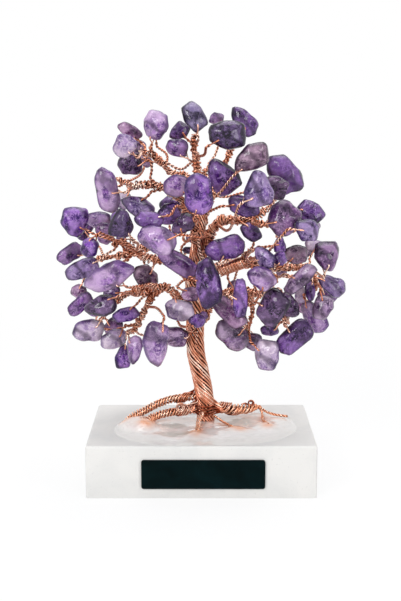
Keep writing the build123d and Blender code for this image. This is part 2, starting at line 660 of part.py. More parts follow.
def lay_twig(chip, bundles, chips, wires):
    # The first loop and twig, from the nearest bundles, that clear everything laid before
    stations = []
    for bundle in bundles.values():
        for spot in bundle.stations():
            way = chip.centre - spot
            distance = np.linalg.norm(way)
            if distance < least_twig_length + chip.radius:
                continue
            _, axis = bundle.nearest(spot)
            cost = distance * (1 + backward_cost_share * (1 - float(axis @ way) / distance))
            stations.append((cost, len(stations), bundle, spot))
    stations.sort(key=lambda entry: entry[:2])
    best = None
    for swing in swings:
        heading = stations[0][3] - chip.centre
        turned = math.radians(swing)
        heading = heading * math.cos(turned) + np.cross(chip.thin_axis, heading) * math.sin(turned)
        chip.thread(heading)
        loop_room = line_clearance(chip.loop_line, wire_diameter, chips, chip, wires)
        if loop_room < wire_clearance and best is not None:
            continue
        approach = chip.twig_end + chip.outward * twig_approach
        for _, _, bundle, spot in stations[:most_stations:station_stride]:
            start = bundle.leave(spot, approach, twig_diameter)
            chord = approach - start[1]
            span = np.linalg.norm(chord)
            side = unit(np.cross(chord, chip.thin_axis + chip.outward * bow_shares[0]))
            lift = unit(np.cross(side, chord))
            for bow_share in bow_shares:
                for bow_way in (side, lift):
                    middle = start[1] + chord / 2 + bow_way * span * bow_share
                    points = start + [middle, approach, chip.twig_end]
                    sharp = sharpest(points) > sharpest_turn
                    if sharp and best is not None:
                        continue
                    line = centreline(points)
                    room = line_clearance(line, twig_diameter, chips, None, wires)
                    least = min(room, loop_room) - (chip_size if sharp else 0)
                    if best is None or least > best[0]:
                        thread = (chip.hole, chip.outward, chip.loop_points, chip.loop_line)
                        best = (least, points, line, thread)
                    if least >= wire_clearance:
                        return best
    return best


def lay_twigs(chips, bundles, winding):
    wires = [wire_entry(bundle.line, bundle.diameter) for bundle in [*bundles.values(), winding]]
    twigs = []
    for chip in chips:
        room, points, line, thread = lay_twig(chip, bundles, chips, wires)
        chip.hole, chip.outward, chip.loop_points, chip.loop_line = thread
        if room < wire_clearance:
            print("tight twig", chip.cluster, chip.number, round(room, 2))
        wires.append(wire_entry(line, twig_diameter))
        wires.append(wire_entry(chip.loop_line, wire_diameter))
        twigs.append(points)
    return twigs


def helix_turns(start, axis, aside, radius, pitch, turns, wire):
    # One unbroken winding: each quarter turn is a pair of tangent arcs
    across = np.cross(axis, aside)
    lead = pitch / math.tau

    def spot(angle):
        return start + axis * lead * angle + (aside * math.cos(angle) + across * math.sin(angle)) * radius

    def heading(angle):
        return unit(axis * lead + (across * math.cos(angle) - aside * math.sin(angle)) * radius)

    edges = []
    quarter = math.pi / 2
    first, last = spot(0), spot(turns * math.tau)
    edges.append(Line(Vector(*(first - heading(0) * wire)), Vector(*first)))
    for step in range(turns * 4):
        a, b = step * quarter, (step + 1) * quarter
        p, q, s, t = spot(a), spot(b), heading(a), heading(b)
        v = q - p
        both = s + t
        spread = 2 * (1 - s @ t)
        reach = (-(v @ both) + math.sqrt((v @ both) ** 2 + spread * (v @ v))) / spread
        middle = (p + s * reach + q - t * reach) / 2
        edges.append(TangentArc(Vector(*p), Vector(*middle), tangent=Vector(*s)))
        way = unit(q - t * reach - (p + s * reach))
        edges.append(TangentArc(Vector(*middle), Vector(*q), tangent=Vector(*way)))
    edges.append(Line(Vector(*last), Vector(*(last + heading(turns * math.tau) * wire))))
    path = Wire([edge for curve in edges for edge in curve.edges()])
    section = Plane(origin=path @ 0, z_dir=path % 0) * Circle(wire / 2)
    marks = np.array([spot(k * math.tau / marks_per_turn) for k in range(turns * marks_per_turn + 1)])
    half = marks_per_turn // 2
    apart = min(np.linalg.norm(marks[i] - marks[i + half:], axis=1).min() for i in range(len(marks) - half))
    return sweep(section, path=path).solid(), Bundle(marks, wire, marks), apart - wire


def make_limb_winding(limb):
    # The longest straight run of the limb carries the winding, clear of the bends at its ends
    points = without_straight_points(limb.points)
    radii = corner_radii(points, math.inf)
    runs = [np.linalg.norm(b - a) for a, b in zip(points, points[1:])]
    longest = runs.index(max(runs))
    start, end = points[longest], points[longest + 1]
    axis = unit(end - start)

    def bend_length(corner):
        way_in, way_out = unit(points[corner] - points[corner - 1]), unit(points[corner + 1] - points[corner])
        turn = math.acos(float(way_in @ way_out))
        return radii[corner - 1] * math.tan(turn / 2)

    free_start = bend_length(longest) + winding_wire_diameter
    free_end = bend_length(longest + 1) + winding_wire_diameter
    turns = int((runs[longest] - free_start - free_end) / winding_pitch)
    aside = unit(np.cross(axis, np.array([0, 1, 0])))
    radius = limb.diameter / 2 + winding_clearance + winding_wire_diameter / 2
    foot = start + axis * free_start
    return helix_turns(foot, axis, aside, radius, winding_pitch, turns, winding_wire_diameter)


def make_base():
    block = Pos(0, 0, base_height / 2) * Box(base_width, base_depth, base_height)
    rim = block.edges().filter_by(Axis.Z) + block.faces().sort_by(Axis.Z)[-1].edges()
    return fillet(rim, base_edge_radius)


def make_plate():
    middle = (plate_shift, -base_depth / 2, plate_middle_height)
    front = Plane(origin=middle, x_dir=(1, 0, 0), z_dir=(0, -1, 0))
    return extrude(front * RectangleRounded(plate_width, plate_height, plate_corner_radius), plate_thickness)


def make_resin():
    rim = [Vector(x * base_width / 2, y * base_depth / 2, base_height) for x, y in resin_shares]
    outline = make_face(Spline(*rim, periodic=True))
    pool = extrude(outline, resin_height, dir=(0, 0, 1))
    return fillet(pool.faces().sort_by(Axis.Z)[-1].edges(), resin_edge_radius)


def save(shape, name):
    export_step(shape, f"parts/{name}.step")


def main():
    os.makedirs("parts", exist_ok=True)
    save(make_base(), "base_block")
    save(make_plate(), "name_plate")
    save(make_resin(), "resin_pool")

    bundles = make_bundles()
    roots, tails = make_roots(bundles["trunk_bundle"])
    for name, bundle in {**bundles, **roots}.items():
        save(tube(bundle.points, bundle.diameter), name)
    save(Compound(children=[tube(tail.points, tail.diameter) for tail in tails]), "right_root_tails")

    winding, winding_bundle, gap = make_limb_winding(bundles["right_mid_limb"])
    save(winding, "limb_winding")
    print("least gap of the winding to itself", round(gap, 3))

    chips = place_chips([*bundles.values(), winding_bundle])
    twigs = lay_twigs(chips, bundles, winding_bundle)
    for cluster in chip_shares:
        members = [i for i, chip in enumerate(chips) if chip.cluster == cluster]
        save(Compound(children=[chips[i].solid() for i in members]), f"gems_{cluster}")
        rods = [tube(twigs[i], twig_diameter) for i in members]
        loops = [tube(chips[i].loop_points, wire_diameter, loop_bend_radius) for i in members]
        save(Compound(children=rods + loops), f"twigs_{cluster}")


main()
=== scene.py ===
import math
from functools import partial
import bpy
import numpy as np
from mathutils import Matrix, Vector, noise


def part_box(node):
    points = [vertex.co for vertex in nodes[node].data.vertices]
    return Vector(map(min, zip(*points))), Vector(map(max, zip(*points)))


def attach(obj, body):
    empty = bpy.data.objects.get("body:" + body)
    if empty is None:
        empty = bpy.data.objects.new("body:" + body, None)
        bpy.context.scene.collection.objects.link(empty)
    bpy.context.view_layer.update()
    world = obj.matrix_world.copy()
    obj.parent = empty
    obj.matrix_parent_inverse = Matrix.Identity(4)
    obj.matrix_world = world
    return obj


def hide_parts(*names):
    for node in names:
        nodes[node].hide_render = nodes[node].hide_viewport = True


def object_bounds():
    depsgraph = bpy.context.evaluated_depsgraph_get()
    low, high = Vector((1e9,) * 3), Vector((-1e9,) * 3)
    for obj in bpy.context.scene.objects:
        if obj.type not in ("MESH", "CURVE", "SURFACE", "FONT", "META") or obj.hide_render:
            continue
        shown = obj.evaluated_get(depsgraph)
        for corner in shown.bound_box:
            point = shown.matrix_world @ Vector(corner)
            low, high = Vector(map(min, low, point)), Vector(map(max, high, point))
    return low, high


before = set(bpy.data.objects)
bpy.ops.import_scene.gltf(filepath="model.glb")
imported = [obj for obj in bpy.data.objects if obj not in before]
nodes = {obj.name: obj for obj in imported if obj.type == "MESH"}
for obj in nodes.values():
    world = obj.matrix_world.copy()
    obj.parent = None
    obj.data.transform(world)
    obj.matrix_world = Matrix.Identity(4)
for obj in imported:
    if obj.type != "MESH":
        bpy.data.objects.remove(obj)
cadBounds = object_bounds()
mm = 0.001
print("frame loaded:", len(nodes), "nodes")


def hexColour(code):
    # sRGB hex to the linear values that shader sockets take
    parts = [int(code[i:i + 2], 16) / 255 for i in (1, 3, 5)]
    return tuple(c / 12.92 if c <= 0.04045 else ((c + 0.055) / 1.055) ** 2.4 for c in parts) + (1.0,)


def setInputs(tree, node, inputs):
    # Inputs by name or in their order, each a value, a hex colour or another node's output
    for name, value in (inputs.items() if isinstance(inputs, dict) else enumerate(inputs)):
        if isinstance(value, bpy.types.NodeSocket):
            tree.links.new(value, node.inputs[name])
        else:
            node.inputs[name].default_value = hexColour(value) if str(value).startswith("#") else value


def addNode(tree, kind, inputs=(), out=0, stops=(), **settings):
    # One node with its settings, its inputs and a ramp's stops, as (position, hex or grey level)
    node = tree.nodes.new(kind)
    for name, value in settings.items():
        setattr(node, name, value)
    setInputs(tree, node, inputs)
    for number, (position, colour) in enumerate(stops):
        elements = node.color_ramp.elements
        element = elements[number] if number < 2 else elements.new(position)
        element.position = position
        element.color = hexColour(colour) if isinstance(colour, str) else (colour, colour, colour, 1.0)
    return node.outputs[out]


# Materials

def newMaterial(name):
    # A material, what adds its nodes, and its Object coordinates
    material = bpy.data.materials.new(name)
    material.use_nodes = True
    add = partial(addNode, material.node_tree)
    return material, add, add("ShaderNodeTexCoord", out="Object")


def surfaced(material, inputs):
    setInputs(material.node_tree, material.node_tree.nodes["Principled BSDF"], inputs)
    return material


def makeAmethyst():
    # Tumbled amethyst: glassy quartz, its colour in zones and clouds, with milky veils, healed cracks with
    # painted glints, painted highlights along its ridges, and a painted dark rim round each chip
    look = {"bandSize": 2.2, "dentSize": 1.5, "dentDepth": 0.05, "grain": 0.62, "facetDark": 0.75,
            "facetPale": 0.6, "roughness": 0.06, "ior": 1.545, "clearness": 0.31, "shine": 0.2}
    patterns = {  # Size, detail, distortion and stops
        "clouds": (3.6, 3.0, 1.0, [(0.40, 0.0), (0.56, 1.0)]),
        "depths": (4.4, 2.0, 1.8, [(0.52, 0.0), (0.62, 0.95)]),
        "veils": (2.4, 4.0, 2.2, [(0.53, 0.0), (0.66, 0.9)]),
        # Crack lines: partly healed cracks and partly painted glints
        "cracksAndGlints": (3.4, 2.0, 2.6, [(0.484, 0.0), (0.5, 0.85), (0.516, 0.0)])}
    material, add, place = newMaterial("tumbledAmethyst")
    read = {}
    for output, marks in (("Vector", ["chipShift"]), ("Color", ["deepTone", "bodyTone", "paleTone"]),
                          ("Fac", ["facetDark", "facetPale", "tipShare", "paintedRidgeHighlight", "rimShare"])):
        read |= {mark: add("ShaderNodeAttribute", out=output, attribute_name=mark) for mark in marks}
    spot = add("ShaderNodeVectorMath", (place, read["chipShift"]), operation="ADD")
    for name, (size, detail, distortion, stops) in patterns.items():
        field = add("ShaderNodeTexNoise", {"Vector": spot, "Scale": 1 / (size * mm), "Detail": detail,
                                           "Roughness": look["grain"], "Distortion": distortion})
        read[name] = add("ShaderNodeValToRGB", (field,), stops=stops)
    for name in ("facetDark", "facetPale"):
        read[name] = add("ShaderNodeMath", (read[name], look[name]), operation="MULTIPLY")
    # Painted highlights: pale lines along the ridges between facets, and pale crack lines that are partly
    # healed cracks and partly painted glints
    milky, cracksAndRidgeGlints = (add("ShaderNodeMath", (read[a], read[b]), operation="ADD", use_clamp=True)
                     for a, b in (("tipShare", "veils"), ("cracksAndGlints", "paintedRidgeHighlight")))
    colour = read["deepTone"]
    for share, tone in ((read["clouds"], "bodyTone"), (read["depths"], "deepTone"),
                        (read["facetDark"], "deepTone"), (read["facetPale"], "paleTone"), (milky, "paleTone"),
                        # rimShare mixes in the deep colour as painted shade, a dark rim round each chip for
                        # the dark surroundings that its edge would refract
                        (cracksAndRidgeGlints, "paleTone"), (read["rimShare"], "deepTone")):
        colour = add("ShaderNodeMix", {0: share, 6: colour, 7: read[tone]}, out=2, data_type="RGBA")
    bands = add("ShaderNodeTexWave", {
        "Vector": spot, "Scale": 0.1 / (look["bandSize"] * mm), "Distortion": 8.0, "Detail": 3.0,
        "Detail Scale": 1.6}, out="Fac", wave_type="BANDS", bands_direction="DIAGONAL")
    banded = add("ShaderNodeValToRGB", (bands,), stops=[(0.0, "#9E929E"), (0.4, "#F7ECF3")])
    whole = add("ShaderNodeMix", {0: 1.0, 6: colour, 7: banded}, out=2, data_type="RGBA",
                blend_type="MULTIPLY")
    dents = add("ShaderNodeTexNoise", {"Vector": spot, "Scale": 1 / (look["dentSize"] * mm), "Detail": 3.0,
                                       "Roughness": look["grain"]})
    bump = add("ShaderNodeBump", {"Height": dents, "Strength": 0.3, "Distance": look["dentDepth"] * mm})
    return surfaced(material, {
        "Base Color": whole, "Normal": bump, "Roughness": look["roughness"], "IOR": look["ior"],
        "Specular IOR Level": look["shine"], "Transmission Weight": look["clearness"]})


def makeCopper(name, bright, body, handled, paintedShade):
    # Bare copper craft wire, drawn and bright, with painted shade where strands lie against each other and on
    # each strand's side that faces into the bundle
    look = {"patchSize": 3.5, "creaseSize": 0.9, "drawnSize": 0.25, "strandShare": 0.26, "dullest": 0.34,
            "brightest": 0.21}
    material, add, place = newMaterial(name)
    patches = add("ShaderNodeTexNoise", {"Vector": place, "Scale": 1 / (look["patchSize"] * mm),
                                         "Detail": 3.0, "Roughness": 0.6})
    strand, crest = (add("ShaderNodeAttribute", out="Fac", attribute_name=mark)
                     for mark in ("strandTone", "crestShare"))
    apart = add("ShaderNodeMath", (strand, look["strandShare"], look["strandShare"] / -2),
                operation="MULTIPLY_ADD")
    toned = add("ShaderNodeMath", (patches, apart), operation="ADD")
    colours = add("ShaderNodeValToRGB", (toned,), stops=[(0.34, handled), (0.50, body), (0.68, bright)])
    # Painted shade: ambient occlusion in the creases, and the crest mark on each strand's inward side, mix in
    # the dark shade colour
    crease = add("ShaderNodeAmbientOcclusion", {"Distance": look["creaseSize"] * mm}, out="AO", samples=6)
    depth = add("ShaderNodeValToRGB", (crease,), stops=[(0.1, 0.3), (0.45, 1.0)])
    ridge = add("ShaderNodeValToRGB", (crest,), stops=[(0.36, 0.0), (0.88, 1.0)])
    lit = add("ShaderNodeMath", (depth, ridge), operation="MULTIPLY")
    mixed = add("ShaderNodeMix", {0: lit, 6: paintedShade, 7: colours}, out=2, data_type="RGBA")
    shine = add("ShaderNodeMapRange", {"Value": patches, "From Min": 0.3, "From Max": 0.7,
                                       "To Min": look["dullest"], "To Max": look["brightest"]})
    drawn = add("ShaderNodeTexNoise", {"Vector": place, "Scale": 1 / (look["drawnSize"] * mm), "Detail": 2.0})
    bump = add("ShaderNodeBump", {"Height": drawn, "Strength": 0.08, "Distance": 0.01 * mm})
    return surfaced(material, {"Base Color": mixed, "Roughness": shine, "Normal": bump, "Metallic": 1.0})


def makeWhiteStone():
    # Cast white marble, honed: off-white with faint grey clouds and a fine grain
    look = {"ground": "#E5E3DF", "cloud": "#DCDBD8", "fleck": "#CDCBC8", "cloudSize": 22.0, "grainSize": 0.6}
    material, add, place = newMaterial("honedWhiteStone")
    clouds = add("ShaderNodeTexNoise", {"Vector": place, "Scale": 1 / (look["cloudSize"] * mm), "Detail": 6.0,
                                        "Roughness": 0.6, "Distortion": 0.8})
    tint = add("ShaderNodeValToRGB", (clouds,), stops=[(0.38, look["cloud"]), (0.62, look["ground"])])
    grain = add("ShaderNodeTexNoise", {"Vector": place, "Scale": 1 / (look["grainSize"] * mm), "Detail": 2.0})
    flecks = add("ShaderNodeValToRGB", (grain,), stops=[(0.66, 0.0), (0.74, 0.5)])
    mixed = add("ShaderNodeMix", {0: flecks, 6: tint, 7: look["fleck"]}, out=2, data_type="RGBA")
    bump = add("ShaderNodeBump", {"Height": grain, "Strength": 0.2, "Distance": 0.03 * mm})
    return surfaced(material, {"Base Color": mixed, "Normal": bump, "Roughness": 0.42, "IOR": 1.5})


def makePlatePlastic():
    # Gloss acrylic, near black with a green cast, with faint handling smears
    look = {"dark": "#020F10", "smeared": "#04181A", "smearSize": 9.0, "ior": 1.49, "shine": 0.04}
    material, add, place = newMaterial("blackAcrylicPlate")
    smears = add("ShaderNodeTexNoise", {"Vector": place, "Scale": 1 / (look["smearSize"] * mm), "Detail": 5.0,
                                        "Distortion": 1.0})
    tint = add("ShaderNodeValToRGB", (smears,), stops=[(0.3, look["dark"]), (0.7, look["smeared"])])
    gloss = add("ShaderNodeMapRange", {"Value": smears, "To Min": 0.12, "To Max": 0.3})
    return surfaced(material, {"Base Color": tint, "Roughness": gloss, "IOR": look["ior"],
                               "Specular IOR Level": look["shine"]})


def makeResin():
    # Poured clear epoxy: glossy, rippled, milky where it is thick, and orange where copper lies in it, with a
    # painted glow of the copper's light round the roots and the first mound's back rim
    look = {"milky": "#FCF8F5", "cloudy": "#F5F0EC", "clearShare": "#DCE0DB", "copperGlow": "#F9B58E",
            "rimShare": "#E6E3DE", "line": "#DCD2CE", "cloudSize": 6.0, "rippleSize": 3.0, "lineSize": 1.1}
    material, add, place = newMaterial("pouredResin")
    milk = add("ShaderNodeTexNoise", {"Vector": place, "Scale": 1 / (look["cloudSize"] * mm), "Detail": 4.0,
                                      "Distortion": 1.2})
    tint = add("ShaderNodeValToRGB", (milk,), stops=[(0.35, look["cloudy"]), (0.65, look["milky"])])
    wave = add("ShaderNodeTexWave", {
        "Vector": place, "Scale": 0.3 / (look["lineSize"] * mm), "Distortion": 9.0, "Detail": 2.0,
        "Detail Scale": 1.2}, out="Fac", wave_type="RINGS")
    lines = add("ShaderNodeMath", (wave, 3.0), operation="POWER")
    where = add("ShaderNodeMapRange", {"Value": milk, "From Min": 0.46, "From Max": 0.6, "To Max": 0.4})
    lined = add("ShaderNodeMath", (lines, where), operation="MULTIPLY")
    colour = add("ShaderNodeMix", {0: lined, 6: tint, 7: look["line"]}, out=2, data_type="RGBA")
    for mark in ("clearShare", "copperGlow", "rimShare"):
        share = add("ShaderNodeAttribute", out="Fac", attribute_name=mark)
        colour = add("ShaderNodeMix", {0: share, 6: colour, 7: look[mark]}, out=2, data_type="RGBA")
    ripples = add("ShaderNodeTexNoise", {"Vector": place, "Scale": 1 / (look["rippleSize"] * mm),
                                         "Detail": 3.0})
    bump = add("ShaderNodeBump", {"Height": ripples, "Strength": 0.4, "Distance": 0.2 * mm})
    return surfaced(material, {"Base Color": colour, "Normal": bump, "Roughness": 0.14, "IOR": 1.5,
                               "Coat Weight": 0.5, "Coat Roughness": 0.05})


amethyst = makeAmethyst()
# The last colour of each copper is its painted shade, for the creases and the strands' inward sides
copper = makeCopper("brightCopperWire", "#FFDFCC", "#F1AE91", "#CD8162", "#7A341F")
# A paler copy of the copper for the roots and their tails: painted light, for the light that the white stone
# throws up on them
stoneLitCopper = makeCopper("copperWireLitByStone", "#FFEBDA", "#FFCCAC", "#F3AA84", "#B06846")
whiteStone = makeWhiteStone()
platePlastic = makePlatePlastic()
resin = makeResin()
print("materials made")


# Lines and frames

def unit(vectors):
    return vectors / np.maximum(np.linalg.norm(vectors, axis=-1, keepdims=True), 1e-20)


def gap(a, b):
    return np.linalg.norm(a - b, axis=-1)


def arcLengths(line):
    return np.concatenate([[0], np.cumsum(gap(line[1:], line[:-1]))])


def pointsAt(line, along):
    lengths = arcLengths(line)
    return np.stack([np.interp(along, lengths, line[:, k]) for k in range(3)], axis=-1)


def resampled(line, spacing):
    length = arcLengths(line)[-1]
    return pointsAt(line, np.linspace(0, length, max(3, int(round(length / spacing)) + 1)))


def smoothed(line, rounds):
    line = line.copy()
    for _ in range(rounds):
        line[1:-1] = line[1:-1] * 0.5 + (line[:-2] + line[2:]) * 0.25
    return line


def nearestOn(line, points):
    return line[gap(points[:, None], line).argmin(axis=1)]


def alongLine(line, places):
    # How far along a line each place lies, and its gap to it
    steps = np.diff(line, axis=0)
    lengths = np.maximum(np.linalg.norm(steps, axis=1), 1e-9)
    shares = np.clip(((places[:, None] - line[:-1]) * steps).sum(axis=2) / lengths ** 2, 0, 1)
    gaps = gap(line[:-1] + steps * shares[..., None], places[:, None])
    nearest, every = gaps.argmin(axis=1), np.arange(len(places))
    return arcLengths(line)[nearest] + shares[every, nearest] * lengths[nearest], gaps[every, nearest]


def crossFrames(line, firstAside):
    # Two ways across the line at each point, turning as little as they can from the first aside way
    tangents = unit(np.gradient(line, axis=0))
    asides = []
    for tangent in tangents:
        firstAside = unit(firstAside - tangent * (firstAside @ tangent))
        asides.append(firstAside)
    return np.array(asides), np.cross(tangents, asides)


def wayRound(asides, across, angle):
    return asides * np.cos(angle)[:, None] + across * np.sin(angle)[:, None]


# Reading the CAD solids: their closed shells, and the lines that their tubes follow

def edgesOf(triangles):
    return np.concatenate([triangles[:, [0, 1]], triangles[:, [1, 2]], triangles[:, [2, 0]]])


def spreadLabels(count, pairs):
    # One label for each group of items that the pairs join
    label, before = np.arange(count), None
    while before is None or (label != before).any():
        before = label.copy()
        least = label[pairs].min(axis=1)
        for side in (0, 1):
            np.minimum.at(label, pairs[:, side], least)
        label = label[label]
    return label


# Doubles lie within mergeSize. A tube's end disc is flat within discLevel and as full and even as a circle.
# The tube's line is averaged in stretches that keep off its ends
readLook = {"mergeSize": 0.0002, "discLevel": 0.99995, "discTriangles": 5, "discPoints": 7, "discSpread": 0.1,
            "discFullness": (0.75, 1.1), "keepOffShare": 0.5, "keepOff": 0.12, "stretch": 0.3, "rounds": 2}


def closedShells(node):
    # Each closed shell of a CAD node as points and triangles, doubles merged
    mesh = nodes[node].data
    mesh.calc_loop_triangles()
    points, triangles = np.empty(len(mesh.vertices) * 3), np.empty(len(mesh.loop_triangles) * 3, int)
    mesh.vertices.foreach_get("co", points)
    mesh.loop_triangles.foreach_get("vertices", triangles)
    points = points.reshape(-1, 3)
    _, first, joined = np.unique(np.round(points / (readLook["mergeSize"] * mm)).astype(int), axis=0,
                                 return_index=True, return_inverse=True)
    points, triangles = points[first], joined.reshape(-1)[triangles].reshape(-1, 3)
    triangles = triangles[(triangles != np.roll(triangles, 1, axis=1)).all(axis=1)]
    label = spreadLabels(len(points), np.concatenate([triangles[:, :2], triangles[:, 1:]]))[triangles[:, 0]]
    shells = []
    for name in np.unique(label):
        used, renumbered = np.unique(triangles[label == name], return_inverse=True)
        shells.append((points[used], renumbered.reshape(-1, 3)))
    return shells


def triangleNormals(points, triangles):
    first, second, third = (points[triangles[:, k]] for k in range(3))
    crossed = np.cross(second - first, third - first)
    return unit(crossed), np.linalg.norm(crossed, axis=1) / 2


def flatDiscs(points, triangles, normals, areas):
    # The flat round ends of a tube, as (area, rim points, triangles), largest first
    edges = np.sort(edgesOf(triangles), axis=1)
    order = np.lexsort((edges[:, 1], edges[:, 0]))
    edges, owners = edges[order], np.tile(np.arange(len(triangles)), 3)[order]
    same = (edges[1:] == edges[:-1]).all(axis=1)
    pairs = np.stack([owners[:-1][same], owners[1:][same]], axis=1)
    level = (normals[pairs[:, 0]] * normals[pairs[:, 1]]).sum(axis=1) > readLook["discLevel"]
    label = spreadLabels(len(triangles), pairs[level])
    discs, (emptiest, fullest) = [], readLook["discFullness"]
    for number in np.flatnonzero(np.bincount(label) >= readLook["discTriangles"]):
        own = np.unique(triangles[label == number])
        spread = gap(points[own], points[own].mean(axis=0))
        area = areas[label == number].sum()
        fullness = area / (math.pi * spread.mean() ** 2)
        even = spread.std() < readLook["discSpread"] * spread.mean()
        if len(own) >= readLook["discPoints"] and even and emptiest < fullness < fullest:
            discs.append((area, own, label == number))
    return sorted(discs, key=lambda disc: -disc[0])[:2]


def tubeLine(points, triangles):
    # The centreline and radius of a round tube: its skin drawn in by the radius, ring after ring from one
    # flat end, then averaged in short stretches
    normals, areas = triangleNormals(points, triangles)
    discs = flatDiscs(points, triangles, normals, areas)
    if len(discs) < 2:
        return None, 0.0
    ends = [points[disc[1]] for disc in discs]
    first, last = (end.mean(axis=0) for end in ends)
    radius = min(float(gap(end, end.mean(axis=0)).max()) for end in ends)
    side = ~(discs[0][2] | discs[1][2])
    own, weights = triangles[side], normals[side] * areas[side][:, None]
    outward = np.zeros_like(points)
    for corner in range(3):
        np.add.at(outward, own[:, corner], weights)
    inner = points - unit(outward) * radius
    edges = edgesOf(own)
    edges = np.concatenate([edges, edges[:, ::-1]])
    hops, step, reached, line = np.full(len(points), -1), 0, discs[0][1], []
    while len(reached):
        hops[reached] = step
        line.append(inner[reached].mean(axis=0))
        reached = edges[hops[edges[:, 0]] == step][:, 1]
        reached = np.unique(reached[hops[reached] < 0])
        step += 1
    line = [p for p in line[1:] if gap(p, last) > radius * readLook["keepOffShare"]]
    line = np.array([first] + line + [last])
    skin = inner[np.unique(own)]
    for _ in range(readLook["rounds"]):
        at, gaps = alongLine(line, skin)
        good = gaps < radius
        bins = (at[good] / (readLook["stretch"] * mm)).astype(int)
        middles = [skin[good][bins == number].mean(axis=0) for number in np.unique(bins)]
        middles = [p for p in middles if min(gap(p, first), gap(p, last)) > readLook["keepOff"] * mm]
        line = np.array([first] + middles + [last])
    return line, radius


# Making pieces

def newPiece(name, points, edges, faces):
    mesh = bpy.data.meshes.new(name)
    mesh.from_pydata(points.tolist(), edges, faces)
    mesh.shade_smooth()
    piece = bpy.data.objects.new(name, mesh)
    bpy.context.scene.collection.objects.link(piece)
    return piece


def keepMark(mesh, name, rows):
    # A number, a way or a colour at each point, for a material or a node tree to read
    kind, field = {1: ("FLOAT", "value"), 3: ("FLOAT_VECTOR", "vector"),
                   4: ("FLOAT_COLOR", "color")}[rows.size // len(mesh.vertices)]
    mesh.attributes.new(name, kind, "POINT").data.foreach_set(field, rows.ravel())


def place(piece, slotName, *replaced):
    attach(piece, "root")
    if replaced:
        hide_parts(*replaced)


def layWires(name, replaced, lines, ways, tree, inputs):
    # Open lines that a node tree draws as copper wire, with the way out of the bundle at each point
    points = np.concatenate(lines)
    starts = np.cumsum([0] + [len(line) for line in lines]).tolist()
    edges = [(i, i + 1) for start, end in zip(starts, starts[1:]) for i in range(start, end - 1)]
    piece = newPiece(name, points, edges, [])
    keepMark(piece.data, "outwardWay", np.concatenate(ways) if ways else np.zeros_like(points))
    modifier = piece.modifiers.new("made", "NODES")
    modifier.node_group = tree
    for item in tree.interface.items_tree:
        if item.in_out == "INPUT" and item.name in inputs:
            modifier[item.identifier] = inputs[item.name]
    mesh = bpy.data.meshes.new_from_object(piece.evaluated_get(bpy.context.evaluated_depsgraph_get()))
    piece.modifiers.clear()
    piece.data = mesh
    mesh.shade_smooth()
    place(piece, "copper_wire", *replaced)


def newTree(name, sizes):
    # A node tree with these inputs and a material, what adds its nodes, its inputs, and its curves
    tree = bpy.data.node_groups.new(name, "GeometryNodeTree")
    for way in ("OUTPUT", "INPUT"):
        tree.interface.new_socket("Geometry", in_out=way, socket_type="NodeSocketGeometry")
    for label, value in {**sizes, "Wire Radius": 0.225 * mm, "Sides": 7}.items():
        kind = "NodeSocketInt" if isinstance(value, int) else "NodeSocketFloat"
        tree.interface.new_socket(label, in_out="INPUT", socket_type=kind).default_value = value
    tree.interface.new_socket("Material", in_out="INPUT", socket_type="NodeSocketMaterial")
    add = partial(addNode, tree)
    given = dict(tree.nodes.new("NodeGroupInput").outputs.items())
    return tree, add, given, add("GeometryNodeMeshToCurve", {"Mesh": given["Geometry"]})


def drawWire(tree, add, given, curves):
    # Round wire along the curves, each in its own tone, marked by how squarely it faces out of the bundle,
    # for the painted shade on its inward side
    section = add("GeometryNodeCurvePrimitiveCircle", {
        "Resolution": given["Sides"], "Radius": given["Wire Radius"]})
    tone = add("FunctionNodeRandomValue", {"Seed": 4}, out=1, data_type="FLOAT")
    toned = add("GeometryNodeStoreNamedAttribute", {"Geometry": curves, "Value": tone, "Name": "strandTone"},
                data_type="FLOAT", domain="CURVE")
    drawn = add("GeometryNodeCurveToMesh", {"Curve": toned, "Profile Curve": section, "Fill Caps": True})
    way = add("GeometryNodeInputNamedAttribute", {"Name": "outwardWay"}, out="Attribute",
              data_type="FLOAT_VECTOR")
    # The crest mark sets the copper's painted shade: a strand is darker where it faces into the bundle, and
    # less so where its way out is short
    facing = add("ShaderNodeVectorMath", (add("GeometryNodeInputNormal"), way), out="Value",
                 operation="DOT_PRODUCT")
    length = add("ShaderNodeVectorMath", (way,), out="Value", operation="LENGTH")
    free = add("ShaderNodeMath", (1.0, length), operation="SUBTRACT", use_clamp=True)
    crest = add("ShaderNodeMath", (facing, free), operation="ADD")
    marked = add("GeometryNodeStoreNamedAttribute", {"Geometry": drawn, "Value": crest, "Name": "crestShare"},
                 data_type="FLOAT", domain="POINT")
    real = add("GeometryNodeRealizeInstances", (marked,))
    coated = add("GeometryNodeSetMaterial", {"Geometry": real, "Material": given["Material"]})
    tree.links.new(coated, tree.nodes.new("NodeGroupOutput").inputs[0])
    return tree


def workOut(add, kind, known, steps):
    # Each step is a result, its operation and its terms, which are numbers or names of what is known by then
    for result, operation, *terms in steps:
        known[result] = add(kind, [known.get(term, term) for term in terms], operation=operation)


# How far the strands' wanderings lie apart, how fast they change along the line, how much of them goes round
# the ring, and the share of a turn from one cord's pair to the next
strayLook = {"apart": 3.71, "rate": 220.0, "round": 4.0, "pairStep": 0.37}


